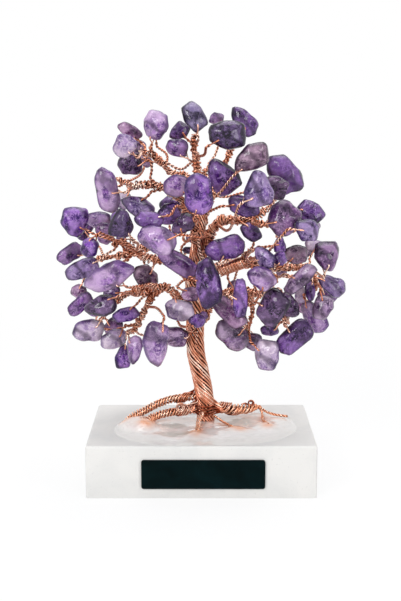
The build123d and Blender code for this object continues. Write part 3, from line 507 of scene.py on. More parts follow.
def makeTwistedBundleTree():
    # Cords laid round a line like a rope's, each of one or more wires, a little uneven, drawn in at the end
    tree, add, given, curves = newTree("twistedBundle", {
        "Strand Count": 12, "Ring Radius": 1.0 * mm, "Twist Length": 8.0 * mm, "Point Spacing": 0.5 * mm,
        "Wander": 0.12 * mm, "End Share": 1.0, "End Length": 5.0 * mm, "Tightening": 0.0,
        "Tight Length": 20.0 * mm, "Wires Per Cord": 1, "Pair Radius": 0.0, "Pair Length": 2.7 * mm,
        "Crease": 1.0, "Seed": 1.0})
    spaced = add("GeometryNodeResampleCurve", {
        "Curve": curves, "Length": given["Point Spacing"]}, mode="LENGTH")
    amount = add("ShaderNodeMath", (given["Strand Count"], given["Wires Per Cord"]), operation="MULTIPLY")
    strands = add("GeometryNodeDuplicateElements", {"Geometry": spaced, "Amount": amount}, domain="SPLINE")
    known = {**given, "copy": strands.node.outputs["Duplicate Index"],
             "along": add("GeometryNodeSplineParameter", out="Length"),
             "whole": add("GeometryNodeSplineLength", out="Length"),
             "normal": add("GeometryNodeInputNormal"), "tangent": add("GeometryNodeInputTangent")}
    workOut(add, "ShaderNodeMath", known, (
        ("index", "DIVIDE", "copy", "Wires Per Cord"), ("index", "FLOOR", "index"),
        ("before", "MULTIPLY", "index", "Wires Per Cord"), ("inCord", "SUBTRACT", "copy", "before"),
        ("driftX", "MULTIPLY", "index", strayLook["apart"]),
        ("driftY", "MULTIPLY", "along", strayLook["rate"])))
    spot = add("ShaderNodeCombineXYZ", (known["driftX"], known["driftY"], given["Seed"]))
    known["drift"] = add("ShaderNodeTexNoise", {"Vector": spot, "Scale": 1.0, "Detail": 1.0})
    workOut(add, "ShaderNodeMath", known, (
        ("drift", "SUBTRACT", "drift", 0.5), ("wandered", "MULTIPLY", "drift", "Wander"),
        ("share", "DIVIDE", "index", "Strand Count"), ("turns", "DIVIDE", "along", "Twist Length"),
        ("easing", "MULTIPLY", "along", -1.0), ("easing", "DIVIDE", "easing", "Tight Length"),
        ("easing", "EXPONENT", "easing"), ("easing", "MULTIPLY", "easing", "Tightening"),
        ("turns", "ADD", "turns", "easing"), ("turns", "ADD", "share", "turns"),
        ("angle", "MULTIPLY", "turns", math.tau), ("spread", "DIVIDE", "wandered", "Ring Radius"),
        ("spread", "MULTIPLY", "spread", strayLook["round"]), ("angle", "ADD", "angle", "spread"),
        ("cosine", "COSINE", "angle"), ("sine", "SINE", "angle"),
        ("fromEnd", "SUBTRACT", "whole", "along"), ("endMix", "DIVIDE", "fromEnd", "End Length"),
        ("endMix", "MINIMUM", "endMix", 1.0), ("endMix", "MULTIPLY", "endMix", math.pi / 2),
        ("endMix", "SINE", "endMix"), ("endRest", "SUBTRACT", 1.0, "End Share"),
        ("endMix", "MULTIPLY", "endRest", "endMix"), ("endMix", "ADD", "End Share", "endMix"),
        ("ring", "MULTIPLY", "Ring Radius", "endMix"), ("ring", "SUBTRACT", "ring", "wandered"),
        ("pairTurn", "DIVIDE", "inCord", "Wires Per Cord"),
        ("apart", "MULTIPLY", "index", strayLook["pairStep"]),
        ("apart", "ADD", "pairTurn", "apart"), ("pairTurn", "DIVIDE", "along", "Pair Length"),
        ("pairTurn", "ADD", "pairTurn", "apart"), ("pairTurn", "MULTIPLY", "pairTurn", math.tau),
        ("out", "COSINE", "pairTurn"), ("out", "MULTIPLY", "out", "Pair Radius"),
        ("out", "ADD", "ring", "out"), ("aside", "SINE", "pairTurn"),
        ("aside", "MULTIPLY", "aside", "Pair Radius")))
    workOut(add, "ShaderNodeVectorMath", known, (
        ("across", "CROSS_PRODUCT", "tangent", "normal"), ("across", "MULTIPLY", "across", "sine"),
        ("outward", "MULTIPLY", "normal", "cosine"), ("outward", "ADD", "outward", "across"),
        ("beside", "CROSS_PRODUCT", "tangent", "outward"), ("beside", "MULTIPLY", "beside", "aside"),
        ("offset", "MULTIPLY", "outward", "out"), ("offset", "ADD", "offset", "beside"),
        # Crease shortens the way out, which lightens the painted shade on the strands' inward sides
        ("way", "MULTIPLY", "outward", "Crease")))
    kept = add("GeometryNodeStoreNamedAttribute", {
        "Geometry": strands, "Value": known["way"], "Name": "outwardWay"},
        data_type="FLOAT_VECTOR", domain="POINT")
    moved = add("GeometryNodeSetPosition", {"Geometry": kept, "Offset": known["offset"]})
    return drawWire(tree, add, given, moved)


drawnWire = drawWire(*newTree("drawnWire", {}))
twistedBundle = makeTwistedBundleTree()


# The bundles of copper wire: trunk, stem and roots are wires laid like a rope, and the limbs are the twisted
# pairs of their own twigs, which run down them side by side and sink into whatever carries the limb

ropeLook = {
    "trunk_bundle": {"twist": -36.0, "tighten": 0.35, "wire": 0.4, "end": 0.74, "wander": 0.34},
    "stem_bundle": {"twist": -26.0, "tighten": 0.0, "wire": 0.36, "end": 0.58},
    "root": {"twistShare": -3.1, "tighten": 0.0, "wireShare": 0.142, "end": 0.45}, "endLength": 6.0,
    "spacing": 1.12, "wander": 0.2, "pairedFrom": 1.0, "pairShare": 0.11, "pairLengthShare": -4.0,
    # rootCrease gives the roots lighter painted shade on their strands' inward sides
    "thinWire": 0.25, "intoTrunk": (2.4, 1.2), "tipShare": 0.25, "tipSink": 0.4, "rootCrease": 0.72,
    "coreFrom": 1.2, "coreShare": 0.6, "coreInset": 1.9, "points": 0.4, "pairPoints": 0.25,
    "corePoints": 0.8, "limbHeart": (-1, 1, 70), "rootHeart": (0, 1, 20)}
ropeNames = ["trunk_bundle", "stem_bundle"]
rootNames = ["left_back_root", "left_front_root", "front_root", "front_right_root", "right_root"]
otherNames = ["base_block", "name_plate", "resin_pool", "limb_winding", "right_root_tails"]
limbNames = [name for name in nodes if not name.startswith(("gems_", "twigs_"))
             and name not in ropeNames + rootNames + otherNames]
bundleLines = {}  # Each bundle's centreline, from the end that is held to the free end, and its radius
for name in ropeNames + rootNames + limbNames:
    line, radius = tubeLine(*closedShells(name)[0])
    heart = np.array(ropeLook["limbHeart" if name in limbNames else "rootHeart"]) * mm
    if gap(line[0], heart) > gap(line[-1], heart):
        line = line[::-1]
    bundleLines[name] = (smoothed(resampled(line, ropeLook["points"] * mm), 3), radius)


def carrierOf(spot, choices):
    # The bundle that carries something at this spot, and how far along it
    found = []
    for name in choices:
        at, gaps = alongLine(bundleLines[name][0], spot[None])
        found.append((gaps[0] - bundleLines[name][1], name, at[0]))
    return min(found)[1:]


def layRope(name):
    line, radius = bundleLines[name]
    look, isRoot = ropeLook.get(name, ropeLook["root"]), name in rootNames
    paired = isRoot and radius > ropeLook["pairedFrom"] * mm
    wire = look["wireShare"] * radius if paired else look.get("wire", ropeLook["thinWire"]) * mm
    if isRoot:
        inward = unit(line[0] - line[3])
        line = np.concatenate([[line[0] + inward * reach * mm for reach in ropeLook["intoTrunk"]], line])
    if isRoot and name != "right_root":  # Its tip dips into the resin
        left = gap(line, line[-1]) / (ropeLook["tipShare"] * arcLengths(line)[-1])
        line[:, 2] -= np.clip(1 - left, 0, 1) ** 2 * (radius + ropeLook["tipSink"] * mm)
    pair = ropeLook["pairShare"] * radius if paired else 0.0
    ring = radius - wire - pair
    twist = look["twistShare"] * radius if isRoot else look["twist"] * mm
    lay = math.cos(math.atan(math.tau * ring / abs(twist)))
    count = max(2, int(math.tau * ring * lay / (2 * (wire + pair) * ropeLook["spacing"])))
    inputs = {
        "Strand Count": count, "Ring Radius": ring, "Wire Radius": wire, "Twist Length": twist,
        "Point Spacing": ropeLook["pairPoints" if paired else "points"] * mm, "Sides": 8,
        "Wander": look.get("wander", ropeLook["wander"]) * mm, "End Share": look["end"],
        "End Length": ropeLook["endLength"] * mm, "Tightening": look["tighten"], "Seed": float(len(name)),
        "Wires Per Cord": 2 if paired else 1, "Pair Radius": pair,
        "Pair Length": ropeLook["pairLengthShare"] * radius,
        "Crease": ropeLook["rootCrease"] if isRoot else 1.0, "Material": stoneLitCopper if isRoot else copper}
    layWires("laidWires_" + name, [name], [line], None, twistedBundle, inputs)
    if radius > ropeLook["coreFrom"] * mm:  # Wires inside, seen between the outer ones
        layWires("innerWires_" + name, [], [line], None, twistedBundle, {
            **inputs, "Strand Count": max(3, int(count * ropeLook["coreShare"])), "Sides": 5,
            "Wires Per Cord": 1, "Pair Radius": 0.0, "Seed": 3.0,
            "Point Spacing": ropeLook["corePoints"] * mm,
            "Ring Radius": ring - ropeLook["coreInset"] * wire})


for name in ropeNames + rootNames:
    layRope(name)
print("ropes laid:", len(ropeNames + rootNames))


# Wires that flare from the trunk's foot into the roots, wires that cross in front of it, and two curled ends

flareLook = {
    "wire": 0.3, "stand": 0.12, "sunk": -0.5, "trunkPitch": 20.0, "rootPitch": 7.0, "rootSteps": 15,
    "rootStep": 0.5, "tuckedSteps": 3, "tuck": (-18.0, 1.0), "bearingStep": 10,
    "crossBearings": (320, 199, -15),
    # First bearing, last bearing and height on the trunk, then place along and turn round the root, each with
    # its step from wire to wire
    "right_root": {"count": 6, "from": 226.0, "to": 340.0, "step": 3.0, "start": 32.4, "fall": 0.9,
                   "arrive": 48.0, "arriveStep": 13.0, "out": 0.6, "outStep": 0.55, "hand": -1},
    "left_front_root": {"count": 4, "from": 142.0, "to": 196.0, "step": 3.0, "start": 28.4, "fall": 0.95,
                        "arrive": -20.0, "arriveStep": 14.0, "out": 2.8, "outStep": -0.6, "hand": 1},
    "left_back_root": {"count": 4, "from": 96.0, "to": 168.0, "step": 3.0, "start": 33.0, "fall": 0.95,
                       "arrive": -40.0, "arriveStep": 14.0, "out": 2.8, "outStep": -0.6, "hand": 1},
    # Crossing wires: height and stand, then where they leave and arrive: along, turned, and the step of each
    "crossings": ((23.9, 0.5), (22.9, 0.62), (21.8, 0.5), (20.9, 0.72)), "crossSag": 0.01, "crossMiddle": 265,
    "crossFrom": (5.6, 20.0, -1.0, 26.0), "crossTo": (1.6, 95.0, 1.0, -48.0),
    "curls": ({"on": "trunk_bundle", "start": ((205, 27.5, -0.5), (222, 25.6, 0.4)),
               "centre": (-7.2, -0.1, 23.7), "outer": 1.75, "inner": 0.75, "turns": 2.2, "from": 30},
              {"on": "right_root", "start": ((9.5, 10, -0.5), (11, 10, 0.2)),
               "centre": (17.6, 8.6, 23.0), "outer": 1.25, "inner": 0.7, "turns": 1.7, "from": 200}),
    "curlDepth": 0.5, "curlTuck": 1.6, "curlPoints": 16, "spacing": 0.3}


def trunkSpot(angle, height, stand):
    # A place on the trunk's skin, by its bearing in degrees and its height
    line, radius = bundleLines["trunk_bundle"]
    middle = line[np.abs(line[:, 2] - height * mm).argmin()]
    turned = math.radians(angle)
    reach = radius + stand * mm
    return np.array([middle[0] + math.cos(turned) * reach, middle[1] + math.sin(turned) * reach, height * mm])


def rootSpot(name, along, turned, stand):
    # A place on a root's skin: 0 degrees is its top and 90 its front
    line, radius = bundleLines[name]
    middle, beyond = pointsAt(line, np.array([along, along + 1]) * mm)
    onward = unit(beyond - middle)
    forward = unit(np.array([onward[1], -onward[0], 0.0]))
    forward = forward if forward[1] < 0 else -forward
    upward = np.cross(onward, forward)
    upward = upward if upward[2] > 0 else -upward
    turned = math.radians(turned)
    return middle + (upward * math.cos(turned) + forward * math.sin(turned)) * (radius + stand * mm)


def rootRun(name, along, turned, alongStep, turnedStep, stands):
    return [rootSpot(name, along + alongStep * k, turned + turnedStep * k, stand)
            for k, stand in enumerate(stands)]


def flarePath(name, number):
    # Down the trunk with its twist, then off it and round the root
    look, stand, sunk = flareLook[name], flareLook["stand"], flareLook["sunk"]
    angle, height = look["from"] + look["step"] * number, look["start"] - look["fall"] * number
    path = [trunkSpot(angle + flareLook["tuck"][0], height + flareLook["tuck"][1], sunk)]
    path += [trunkSpot(bearing, height - flareLook["trunkPitch"] * (bearing - angle) / 360, stand)
             for bearing in np.arange(angle, look["to"], flareLook["bearingStep"])]
    stands = [stand] * (flareLook["rootSteps"] - flareLook["tuckedSteps"]) + [sunk] * flareLook["tuckedSteps"]
    along, turned = (look[way] + look[way + "Step"] * number for way in ("out", "arrive"))
    step = flareLook["rootStep"]
    turnedStep = look["hand"] * step * 360 / flareLook["rootPitch"]
    return path + rootRun(name, along, turned, step, turnedStep, stands)


def crossingPath(height, stand):
    # From the right root's front, across the foot, to the left front root and over it
    sag, middle, sunk = flareLook["crossSag"], flareLook["crossMiddle"], flareLook["sunk"]
    return (rootRun("right_root", *flareLook["crossFrom"], [sunk] + [stand] * 3)
            + [trunkSpot(angle, height + sag * abs(angle - middle), stand)
               for angle in range(*flareLook["crossBearings"])]
            + rootRun("left_front_root", *flareLook["crossTo"], [stand] * 4 + [sunk]))


def curlPath(look):
    # A wire's loose end: off the trunk or root, round in a flat curl, and tucked in behind
    onRoot = look["on"] in rootNames
    start = [rootSpot(look["on"], *spot) if onRoot else trunkSpot(*spot) for spot in look["start"]]
    centre, steps = np.array(look["centre"]), int(look["turns"] * flareLook["curlPoints"])
    shares = np.arange(steps + 1) / steps
    radius = look["outer"] + (look["inner"] - look["outer"]) * shares
    angle = math.radians(look["from"]) + shares * look["turns"] * math.tau
    depth = flareLook["curlDepth"] * (shares - 0.5)
    curl = np.stack([np.cos(angle) * radius, depth, np.sin(angle) * radius], axis=1)
    return [*start, *(centre + curl) * mm, (centre + (0, flareLook["curlTuck"], 0)) * mm]


def layFlares():
    paths = [flarePath(name, number) for name in ("right_root", "left_front_root", "left_back_root")
             for number in range(flareLook[name]["count"])]
    paths += [crossingPath(height, stand) for height, stand in flareLook["crossings"]]
    paths += [curlPath(look) for look in flareLook["curls"]]
    hearts = np.concatenate([bundleLines[name][0] for name in ["trunk_bundle"] + rootNames])
    lines = [smoothed(resampled(np.array(path), flareLook["spacing"] * mm), 4) for path in paths]
    layWires("flaredWires", [], lines, [unit(line - nearestOn(hearts, line)) for line in lines], drawnWire,
             {"Wire Radius": flareLook["wire"] * mm, "Sides": 8, "Material": copper})


layFlares()


# Twigs: one wire for each chip, twisted on itself, through the chip's bore and back

twigLook = {"wire": 0.25, "twist": -2.7, "pair": 0.26, "spacing": 0.2, "cordRadius": 0.475, "crease": 0.55,
            "loopUpTo": 0.35, "intoLimb": 1.0}
twigWire = {"Wire Radius": twigLook["wire"] * mm, "Sides": 6, "Material": copper}
spacing = twigLook["spacing"] * mm
boreLines = {}
cordsOf = {name: [] for name in limbNames}


def readTwigs(node):
    # Each wire loop of a cluster, the rod that it ends in, from the chip on, and what carries the rod
    tubes = [tubeLine(*shell) for shell in closedShells(node)]
    rods = [line for line, radius in tubes if radius > twigLook["loopUpTo"] * mm]
    loops = [line for line, radius in tubes if 0 < radius <= twigLook["loopUpTo"] * mm]
    twigs = []
    for loop in loops:
        middle = (loop[0] + loop[-1]) / 2
        rod = min(rods, key=lambda r: min(gap(r[0], middle), gap(r[-1], middle)))
        rod = rod[::-1] if gap(rod[0], middle) > gap(rod[-1], middle) else rod
        carrier, along = carrierOf(rod[-1], ropeNames + limbNames)
        loop = smoothed(resampled(loop, spacing), 1)
        twigs.append({"rod": rod, "loop": loop, "along": along})
        boreLines.setdefault(node.replace("twigs_", "gems_"), []).append(loop)
        cordsOf.get(carrier, []).append(twigs[-1])
    return twigs


twigsOf = {name: readTwigs(name) for name in nodes if name.startswith("twigs_")}


def twistedPair(path, aside):
    # The two strands of a twisted pair along a path
    turn = arcLengths(path) / (twigLook["twist"] * mm) * math.tau
    offset = wayRound(*crossFrames(path, aside), turn) * twigLook["pair"] * mm
    return path + offset, path - offset


def outOfPair(a, b):
    # The way out of a twisted pair at each point of both its strands, short, so that the painted shade in its
    # creases stays light
    apart = unit(a - b) * twigLook["crease"]
    return [apart, -apart]


limbLook = {"twist": 16.0, "fillReach": (0.97, 0.86, 0.72, 0.6, 0.5, 0.42), "fillAngle": 2.4,
            "sink": (0.3, 0.9, 2.0), "sinkStep": 2.6, "leaveBefore": 0.9, "rodKept": 0.5, "bared": 0.2,
            "easeRounds": 12, "crowded": 7, "innerShare": 0.25}
wrapLook = {"apart": 1.3, "turns": (0.5, 2.3), "pitch": (0.7, 3.4), "stand": 0.2, "bulge": 0.62, "lumps": 3,
            "sunk": -0.6, "tuckRate": 7, "sway": 0.5, "swayRate": 5, "crease": 0.75, "lastShare": 0.96,
            "leftHanded": 0.6, "turnPoints": 14, "seed": 7}
wrapChance = np.random.default_rng(wrapLook["seed"])


def layWraps(line, lengths, first, skin, asides, across):
    # Loose ends wrapped round a limb, uneven, each tucked in where it starts and ends
    wires, ways = [], []
    for _ in range(int((lengths[-1] - lengths[first]) / (wrapLook["apart"] * mm))):
        turns, pitch = wrapChance.uniform(*wrapLook["turns"]), wrapChance.uniform(*wrapLook["pitch"]) * mm
        start = wrapChance.uniform(lengths[first], lengths[-1] * wrapLook["lastShare"])
        phase, bulge = wrapChance.uniform(0, math.tau), wrapChance.uniform(0, wrapLook["bulge"]) ** 2
        hand = -1 if wrapChance.random() < wrapLook["leftHanded"] else 1
        shares = np.linspace(0, 1, max(6, int(turns * wrapLook["turnPoints"])))
        at = np.clip(start + shares * turns * pitch, lengths[first], lengths[-1])
        tucked = np.clip(np.minimum(shares, 1 - shares) * wrapLook["tuckRate"], 0, 1)
        stand = wrapLook["sunk"] + (wrapLook["stand"] - wrapLook["sunk"]) * tucked
        stand += bulge * np.sin(shares * math.pi * wrapLook["lumps"]) ** 2
        sway = wrapLook["sway"] * np.sin(shares * turns * wrapLook["swayRate"] + phase)
        angle = phase + hand * shares * turns * math.tau + sway
        index = np.clip(np.searchsorted(lengths, at), 0, len(line) - 1)
        out = wayRound(asides[index], across[index], angle) * (skin[index] + stand * mm)[:, None]
        wires.append(smoothed(resampled(pointsAt(line, at) + out, spacing), 2))
        ways.append(unit(wires[-1] - nearestOn(line, wires[-1])) * wrapLook["crease"])
    return wires, ways


def layLimb(name):
    # The cords of a limb lie evenly round it, and draw together as their number falls
    line, radius = bundleLines[name]
    carrier, carrierAlong = carrierOf(line[0], [other for other in ropeNames + limbNames if other != name])
    carrierLine, carrierRadius = bundleLines[carrier]
    lengths = arcLengths(line)
    first = int(np.argmax(alongLine(carrierLine, line)[1] > carrierRadius - limbLook["bared"] * mm))
    asides, across = crossFrames(line, np.array([0.3, 0.2, 1.0]))
    cord = twigLook["cordRadius"] * mm
    ring = radius - cord
    capacity = max(3, round(math.tau * ring / (2 * cord))) + (1 if ring > 1.7 * cord else 0)
    cords = sorted(cordsOf[name], key=lambda twig: -twig["along"])
    fill = limbLook["fillReach"][:max(0, capacity - len(cords))]
    reaches = [max(twig["along"], lengths[first] + 1 * mm) for twig in cords]
    reaches += [lengths[-1] * share for share in fill]
    cords += [None] * len(fill)
    alive = (np.array(reaches)[:, None] >= lengths).sum(axis=0)
    spread = np.where(alive < 2, 0, np.minimum(ring, cord / np.sin(math.pi / np.maximum(2, alive))))
    for _ in range(limbLook["easeRounds"]):
        spread[1:-1] = spread[1:-1] * 0.4 + (spread[:-2] + spread[2:]) * 0.3
    turning = lengths / (limbLook["twist"] * mm) * math.tau
    wanted = []
    for number, (twig, reach) in enumerate(zip(cords, reaches)):
        at = min(int(np.searchsorted(lengths, reach)), len(line) - 1)
        angle = number * limbLook["fillAngle"]
        if twig:
            leaving = twig["rod"][0] - line[at]
            angle = math.atan2(leaving @ across[at], leaving @ asides[at])
        wanted.append((angle - turning[at]) % math.tau)
    order = np.argsort(np.argsort(wanted))
    wires, ways = layWraps(line, lengths, first, spread + cord, asides, across)
    outward = unit(line[min(first + 3, len(line) - 1)] - nearestOn(carrierLine, line[first:first + 1])[0])
    sunk = [pointsAt(carrierLine, max(carrierAlong - limbLook["sinkStep"] * mm * (k + 1), 0))
            + outward * (carrierRadius - depth * mm) for k, depth in enumerate(limbLook["sink"])]
    crowded = limbLook["crowded"]
    for number, (twig, reach) in enumerate(zip(cords, reaches)):
        angle = math.tau * order[number] / len(cords) + turning
        inside = len(cords) > crowded and number % crowded == crowded - 1
        tight = spread * (limbLook["innerShare"] if inside else 1)
        path = line + wayRound(asides, across, angle) * tight[:, None]
        last = int(np.searchsorted(lengths, reach - (limbLook["leaveBefore"] * mm if twig else 0)))
        run = path[first:max(last, first + 2)]
        full = np.concatenate([sunk[::-1] + (run[0] - line[first]) * 0.5, run])[::-1]
        if twig:
            rod = twig["rod"]
            short = rod[gap(rod, rod[-1]) > limbLook["rodKept"] * mm]
            full = np.concatenate([short if len(short) > 1 else rod[:2], full])
        full = smoothed(resampled(full, spacing), 3)
        if twig:
            full[0] = rod[0]
            a, b = twistedPair(full, twig["loop"][0] - twig["loop"][-1])
            split = int(arcLengths(short)[-1] / spacing) + 2
            twig["strands"] = (a[:split + 1], b[:split + 1])
            a, b = a[split:], b[split:]
        else:
            a, b = twistedPair(full, np.array([0.1, 0.3, 1.0]))
        wires += [a, b]
        ways += outOfPair(a, b)
    layWires("twistedCords_" + name, [name], wires, ways, drawnWire, twigWire)


for name in limbNames:
    layLimb(name)
print("limbs laid:", len(limbNames))


def layTwigs(node):
    wires, ways = [], []
    for twig in twigsOf[node]:
        if "strands" not in twig:
            rod = twig["rod"]
            onward = unit(rod[-1] - rod[-2]) * twigLook["intoLimb"] * mm
            path = smoothed(resampled(np.concatenate([rod, [rod[-1] + onward]]), spacing), 2)
            twig["strands"] = twistedPair(path, twig["loop"][0] - twig["loop"][-1])
        a, b = twig["strands"]
        wayA, wayB = outOfPair(a, b)
        wires.append(np.concatenate([a[::-1], twig["loop"], b]))
        ways.append(np.concatenate([wayA[::-1], np.zeros_like(twig["loop"]), wayB]))
    layWires("twistedPairs_" + node[6:], [node], wires, ways, drawnWire, twigWire)


for name in twigsOf:
    layTwigs(name)
print("twigs laid:", len(twigsOf), "clusters")


# Amethyst chips

# Deep, body and pale colours, how far the pale end reaches, how dark the painted shade rim is, and the chips
# that are so, by their places in the front view in hundredths of the crown
chipTones = {
    "deep": ("#22063A", "#5C268C", "#B08AD4", 0.18, 0.88, (
        (-3, 24), (-54, 52), (-15, 89), (28, 92), (14, 74), (28, 64), (-35, 59), (-22, 61), (4, 38), (34, 55),
        (56, 74), (73, 62), (74, 35), (47, 21), (64, 19))),
    "vivid": ("#300862", "#7E36BE", "#D2AAF6", 0.28, 0.84, (
        (-52, 27), (-54, 12), (-85, 58), (-76, 50), (-2, 68), (16, 50), (53, 51), (53, 46), (26, 32))),
    "mid": ("#361056", "#8C4CB2", "#D8B4EC", 0.30, 0.82, (
        (-83, 30), (1, 26), (-89, 48), (-16, 83), (-16, 44), (86, 33))),
    "lilac": ("#522A7A", "#B07CD2", "#F0D8FA", 0.44, 0.78, (
        (-46, 14), (-31, 16), (-69, 59), (-63, 40), (-63, 69), (-30, 91), (-17, 70), (10, 93), (-30, 52),
        (41, 39), (77, 26))),
    "pale": ("#6A4E8E", "#C2A8DA", "#FAF0FC", 0.54, 0.74, (
        (-78, 21), (-60, 18), (-15, 28), (-52, 66), (-51, 84), (78, 50), (72, 48), (68, 34), (45, 12))),
    "smoky": ("#3A1C4C", "#8E68A4", "#E2CCE8", 0.38, 0.82, (
        (-18, 19), (-38, 79), (-42, 84), (54, 42), (67, 39), (83, 29), (36, 17), (21, 20), (21, 36))),
    "brown": ("#331638", "#805884", "#D4B8CC", 0.30, 0.82, ((-38, 40), (33, 80), (64, 47))),
    "blue": ("#2A1452", "#7C5AAA", "#CFBAEA", 0.34, 0.82, (
        (-81, 42), (-43, 64), (38, 70), (71, 56), (42, 46), (88, 37))),
    "black": ("#180628", "#4C2A66", "#A88ABA", 0.24, 0.86, (
        (-69, 30), (-61, 34), (-48, 78), (-12, 58), (-10, 49), (49, 29), (60, 30))),
    "ink": ("#12041F", "#36204F", "#8A74A6", 0.16, 0.88, ((-54, 58), (17, 88))),
    "slate": ("#221838", "#62548C", "#B0A6CC", 0.26, 0.84, ((-5, 94),)),
    "plum": ("#321246", "#7C4A90", "#CCAAD6", 0.30, 0.82, (
        (-60, 22), (-65, 54), (50, 70), (56, 60), (85, 47))),
    "rose": ("#4C2058", "#AA64AE", "#EACAE8", 0.36, 0.80, (
        (-84, 35), (-8, 34), (-48, 89), (-6, 53), (68, 29), (19, 28))),
}
backTones = ("mid", "deep", "lilac", "vivid", "smoky", "mid", "blue", "deep", "rose", "vivid")
crown = {"reach": 50.0, "foot": 30.0, "height": 100.0, "distance": 369.3, "eye": 129.7}
# The other factors inside sines, further down, only scatter the chips' and the facets' numbers
chipLook = {"swell": 1.075, "roundness": 24, "levels": 4, "scoop": 0.13, "dent": 0.03, "dentSize": 3.2,
            "bore": 0.62, "boreDepth": 0.5, "boreSteps": 2, "boreReach": 1.2, "rimReach": 0.5,
            "rimFade": 0.28, "rimCurve": 1.4, "ridge": 0.55, "ridgeFrom": 0.93, "tip": 0.75, "tipFade": 0.8,
            "facetSplit": 40, "hullWithin": 0.03, "leastOffset": 0.2, "seedStep": 1.37, "shift": 0.4}


def toneOf(node, number, centre):
    # The tone of the listed place that is nearest in the front view, where a hundredth across is half as long
    # as one up, and a turn of tones at the back
    if node.startswith("gems_back"):
        return backTones[number % len(backTones)]
    x, y, z = centre / mm
    nearness = 1 + y / crown["distance"]
    across = x / nearness / crown["reach"] * 100
    up = (crown["eye"] + (z - crown["eye"]) / nearness - crown["foot"]) / crown["height"] * 100
    return min(chipTones, key=lambda tone: min((a - across) ** 2 / 4 + (b - up) ** 2
                                               for a, b in chipTones[tone][5]))


def ballDirections(level):
    bpy.ops.mesh.primitive_ico_sphere_add(subdivisions=level, radius=1.0)
    ball = bpy.context.object
    directions = unit(np.array([v.co[:] for v in ball.data.vertices]))
    faces = np.array([p.vertices[:] for p in ball.data.polygons])
    bpy.data.objects.remove(ball, do_unlink=True)
    return directions, faces


ballWays, ballFaces = ballDirections(chipLook["levels"])


def middleOf(points):
    return (points.max(axis=0) + points.min(axis=0)) / 2


def chipSurface(points, triangles, bore, seed):
    # A tumbled surface just inside the flat faces of the chip's solid, its edges worn round and its bore
    # dented in, how near each point is to an edge, and the tone of its facet
    normals, _ = triangleNormals(points, triangles)
    centre = middleOf(points)
    offsets = ((points[triangles[:, 0]] - centre) * normals).sum(axis=1)
    outside = ((points - centre) @ normals.T).max(axis=0) - offsets
    hull = (outside < chipLook["hullWithin"] * mm) & (offsets > chipLook["leastOffset"] * mm)
    keys = np.round(np.concatenate([normals, offsets[:, None] * 4000], axis=1), 2)[hull]
    _, first = np.unique(keys, axis=0, return_index=True)
    normals, offsets = normals[hull][first], offsets[hull][first]
    numbers = np.arange(len(normals))
    facing = np.maximum(ballWays @ normals.T, 0)
    scoops = chipLook["scoop"] * (0.5 + 0.5 * np.sin(numbers * 2.4 + seed))
    slopes = facing / offsets / (1 - scoops * facing ** 9)
    reach = (slopes ** chipLook["roundness"]).sum(axis=1) ** (-1 / chipLook["roundness"])
    steepest = np.sort(slopes, axis=1)
    ridgeFrom = chipLook["ridgeFrom"]
    ridge = np.clip((steepest[:, -2] / steepest[:, -1] - ridgeFrom) / (1 - ridgeFrom), 0, 1)
    shares = slopes ** chipLook["facetSplit"]
    facetTone = shares / shares.sum(axis=1)[:, None] @ np.sin(numbers * 4.7 + seed * 2.9)
    places = ballWays * (reach * chipLook["swell"])[:, None]
    shift = Vector((seed * 3.1, seed * 1.7, seed * 2.3))
    worn = [noise.fractal(Vector(p / (chipLook["dentSize"] * mm)) + shift, 1.0, 2.0, 2) for p in places]
    places *= (1 + chipLook["dent"] * np.array(worn))[:, None]
    if bore is not None:
        middle, axis = bore
        rel = places - (middle - centre)
        axial = rel @ axis
        radial = gap(rel, axial[:, None] * axis)
        dip = np.clip(1 - (radial / (chipLook["bore"] * mm)) ** 2, 0, 1)
        places -= (np.sign(axial) * dip * chipLook["boreDepth"] * mm)[:, None] * axis
    low, high = (np.array(corner) - centre for corner in cadBounds)
    places *= min(1, (high / places.max(axis=0)).min(), (low / places.min(axis=0)).min())
    return places + centre, ridge, facetTone


def boreOf(node, points):
    # The bore nearest the chip: the straight run of its wire loop through the stone
    centre, half = middleOf(points), chipLook["boreSteps"]
    found = []
    for loop in boreLines.get(node, []):
        far = gap(loop, (loop[0] + loop[-1]) / 2).argmax()
        axis = unit(loop[min(far + half, len(loop) - 1)] - loop[max(far - half, 0)])
        found.append((gap(loop[far], centre), loop[far], axis))
    nearest, middle, axis = min(found, key=lambda bore: bore[0], default=(math.inf, None, None))
    return (middle, axis) if nearest < gap(points, centre).max() * chipLook["boreReach"] else None


def growChip(node, number, points, triangles):
    # One chip's points and the marks that its material reads
    centre, seed = middleOf(points), number * chipLook["seedStep"]
    places, ridge, facetTone = chipSurface(points, triangles, boreOf(node, points), seed)
    deep, body, pale, paleReach, rimDark, _ = chipTones[toneOf(node, number, centre)]
    local = places - centre
    spread = np.linalg.svd(local[::7] - local[::7].mean(axis=0))[2]
    longShare, thinShare = (local @ way / np.abs(local @ way).max() for way in (spread[0], spread[2]))
    longShare = longShare if number % 2 else -longShare
    shift = np.array([math.sin(seed), math.cos(seed * 1.3), math.sin(seed * 2.1)]) * chipLook["shift"]
    rim = np.clip((chipLook["rimReach"] - np.abs(thinShare)) / chipLook["rimFade"], 0, 1)
    marks = {
        "tipShare": np.clip((longShare - (1 - 2 * paleReach)) / chipLook["tipFade"], 0, 1) * chipLook["tip"],
        # Painted shade: a dark rim round the chip's thin edge, darker for the darker tones
        "rimShare": rim ** chipLook["rimCurve"] * rimDark,
        # Painted highlight along the ridges between facets
        "paintedRidgeHighlight": ridge ** 2 * chipLook["ridge"],
        "facetDark": np.clip(-facetTone, 0, 1), "facetPale": np.clip(facetTone, 0, 1)}
    for mark, value in (("chipShift", shift), ("deepTone", hexColour(deep)), ("bodyTone", hexColour(body)),
                        ("paleTone", hexColour(pale))):
        marks[mark] = np.tile(value, (len(places), 1))
    return places, marks


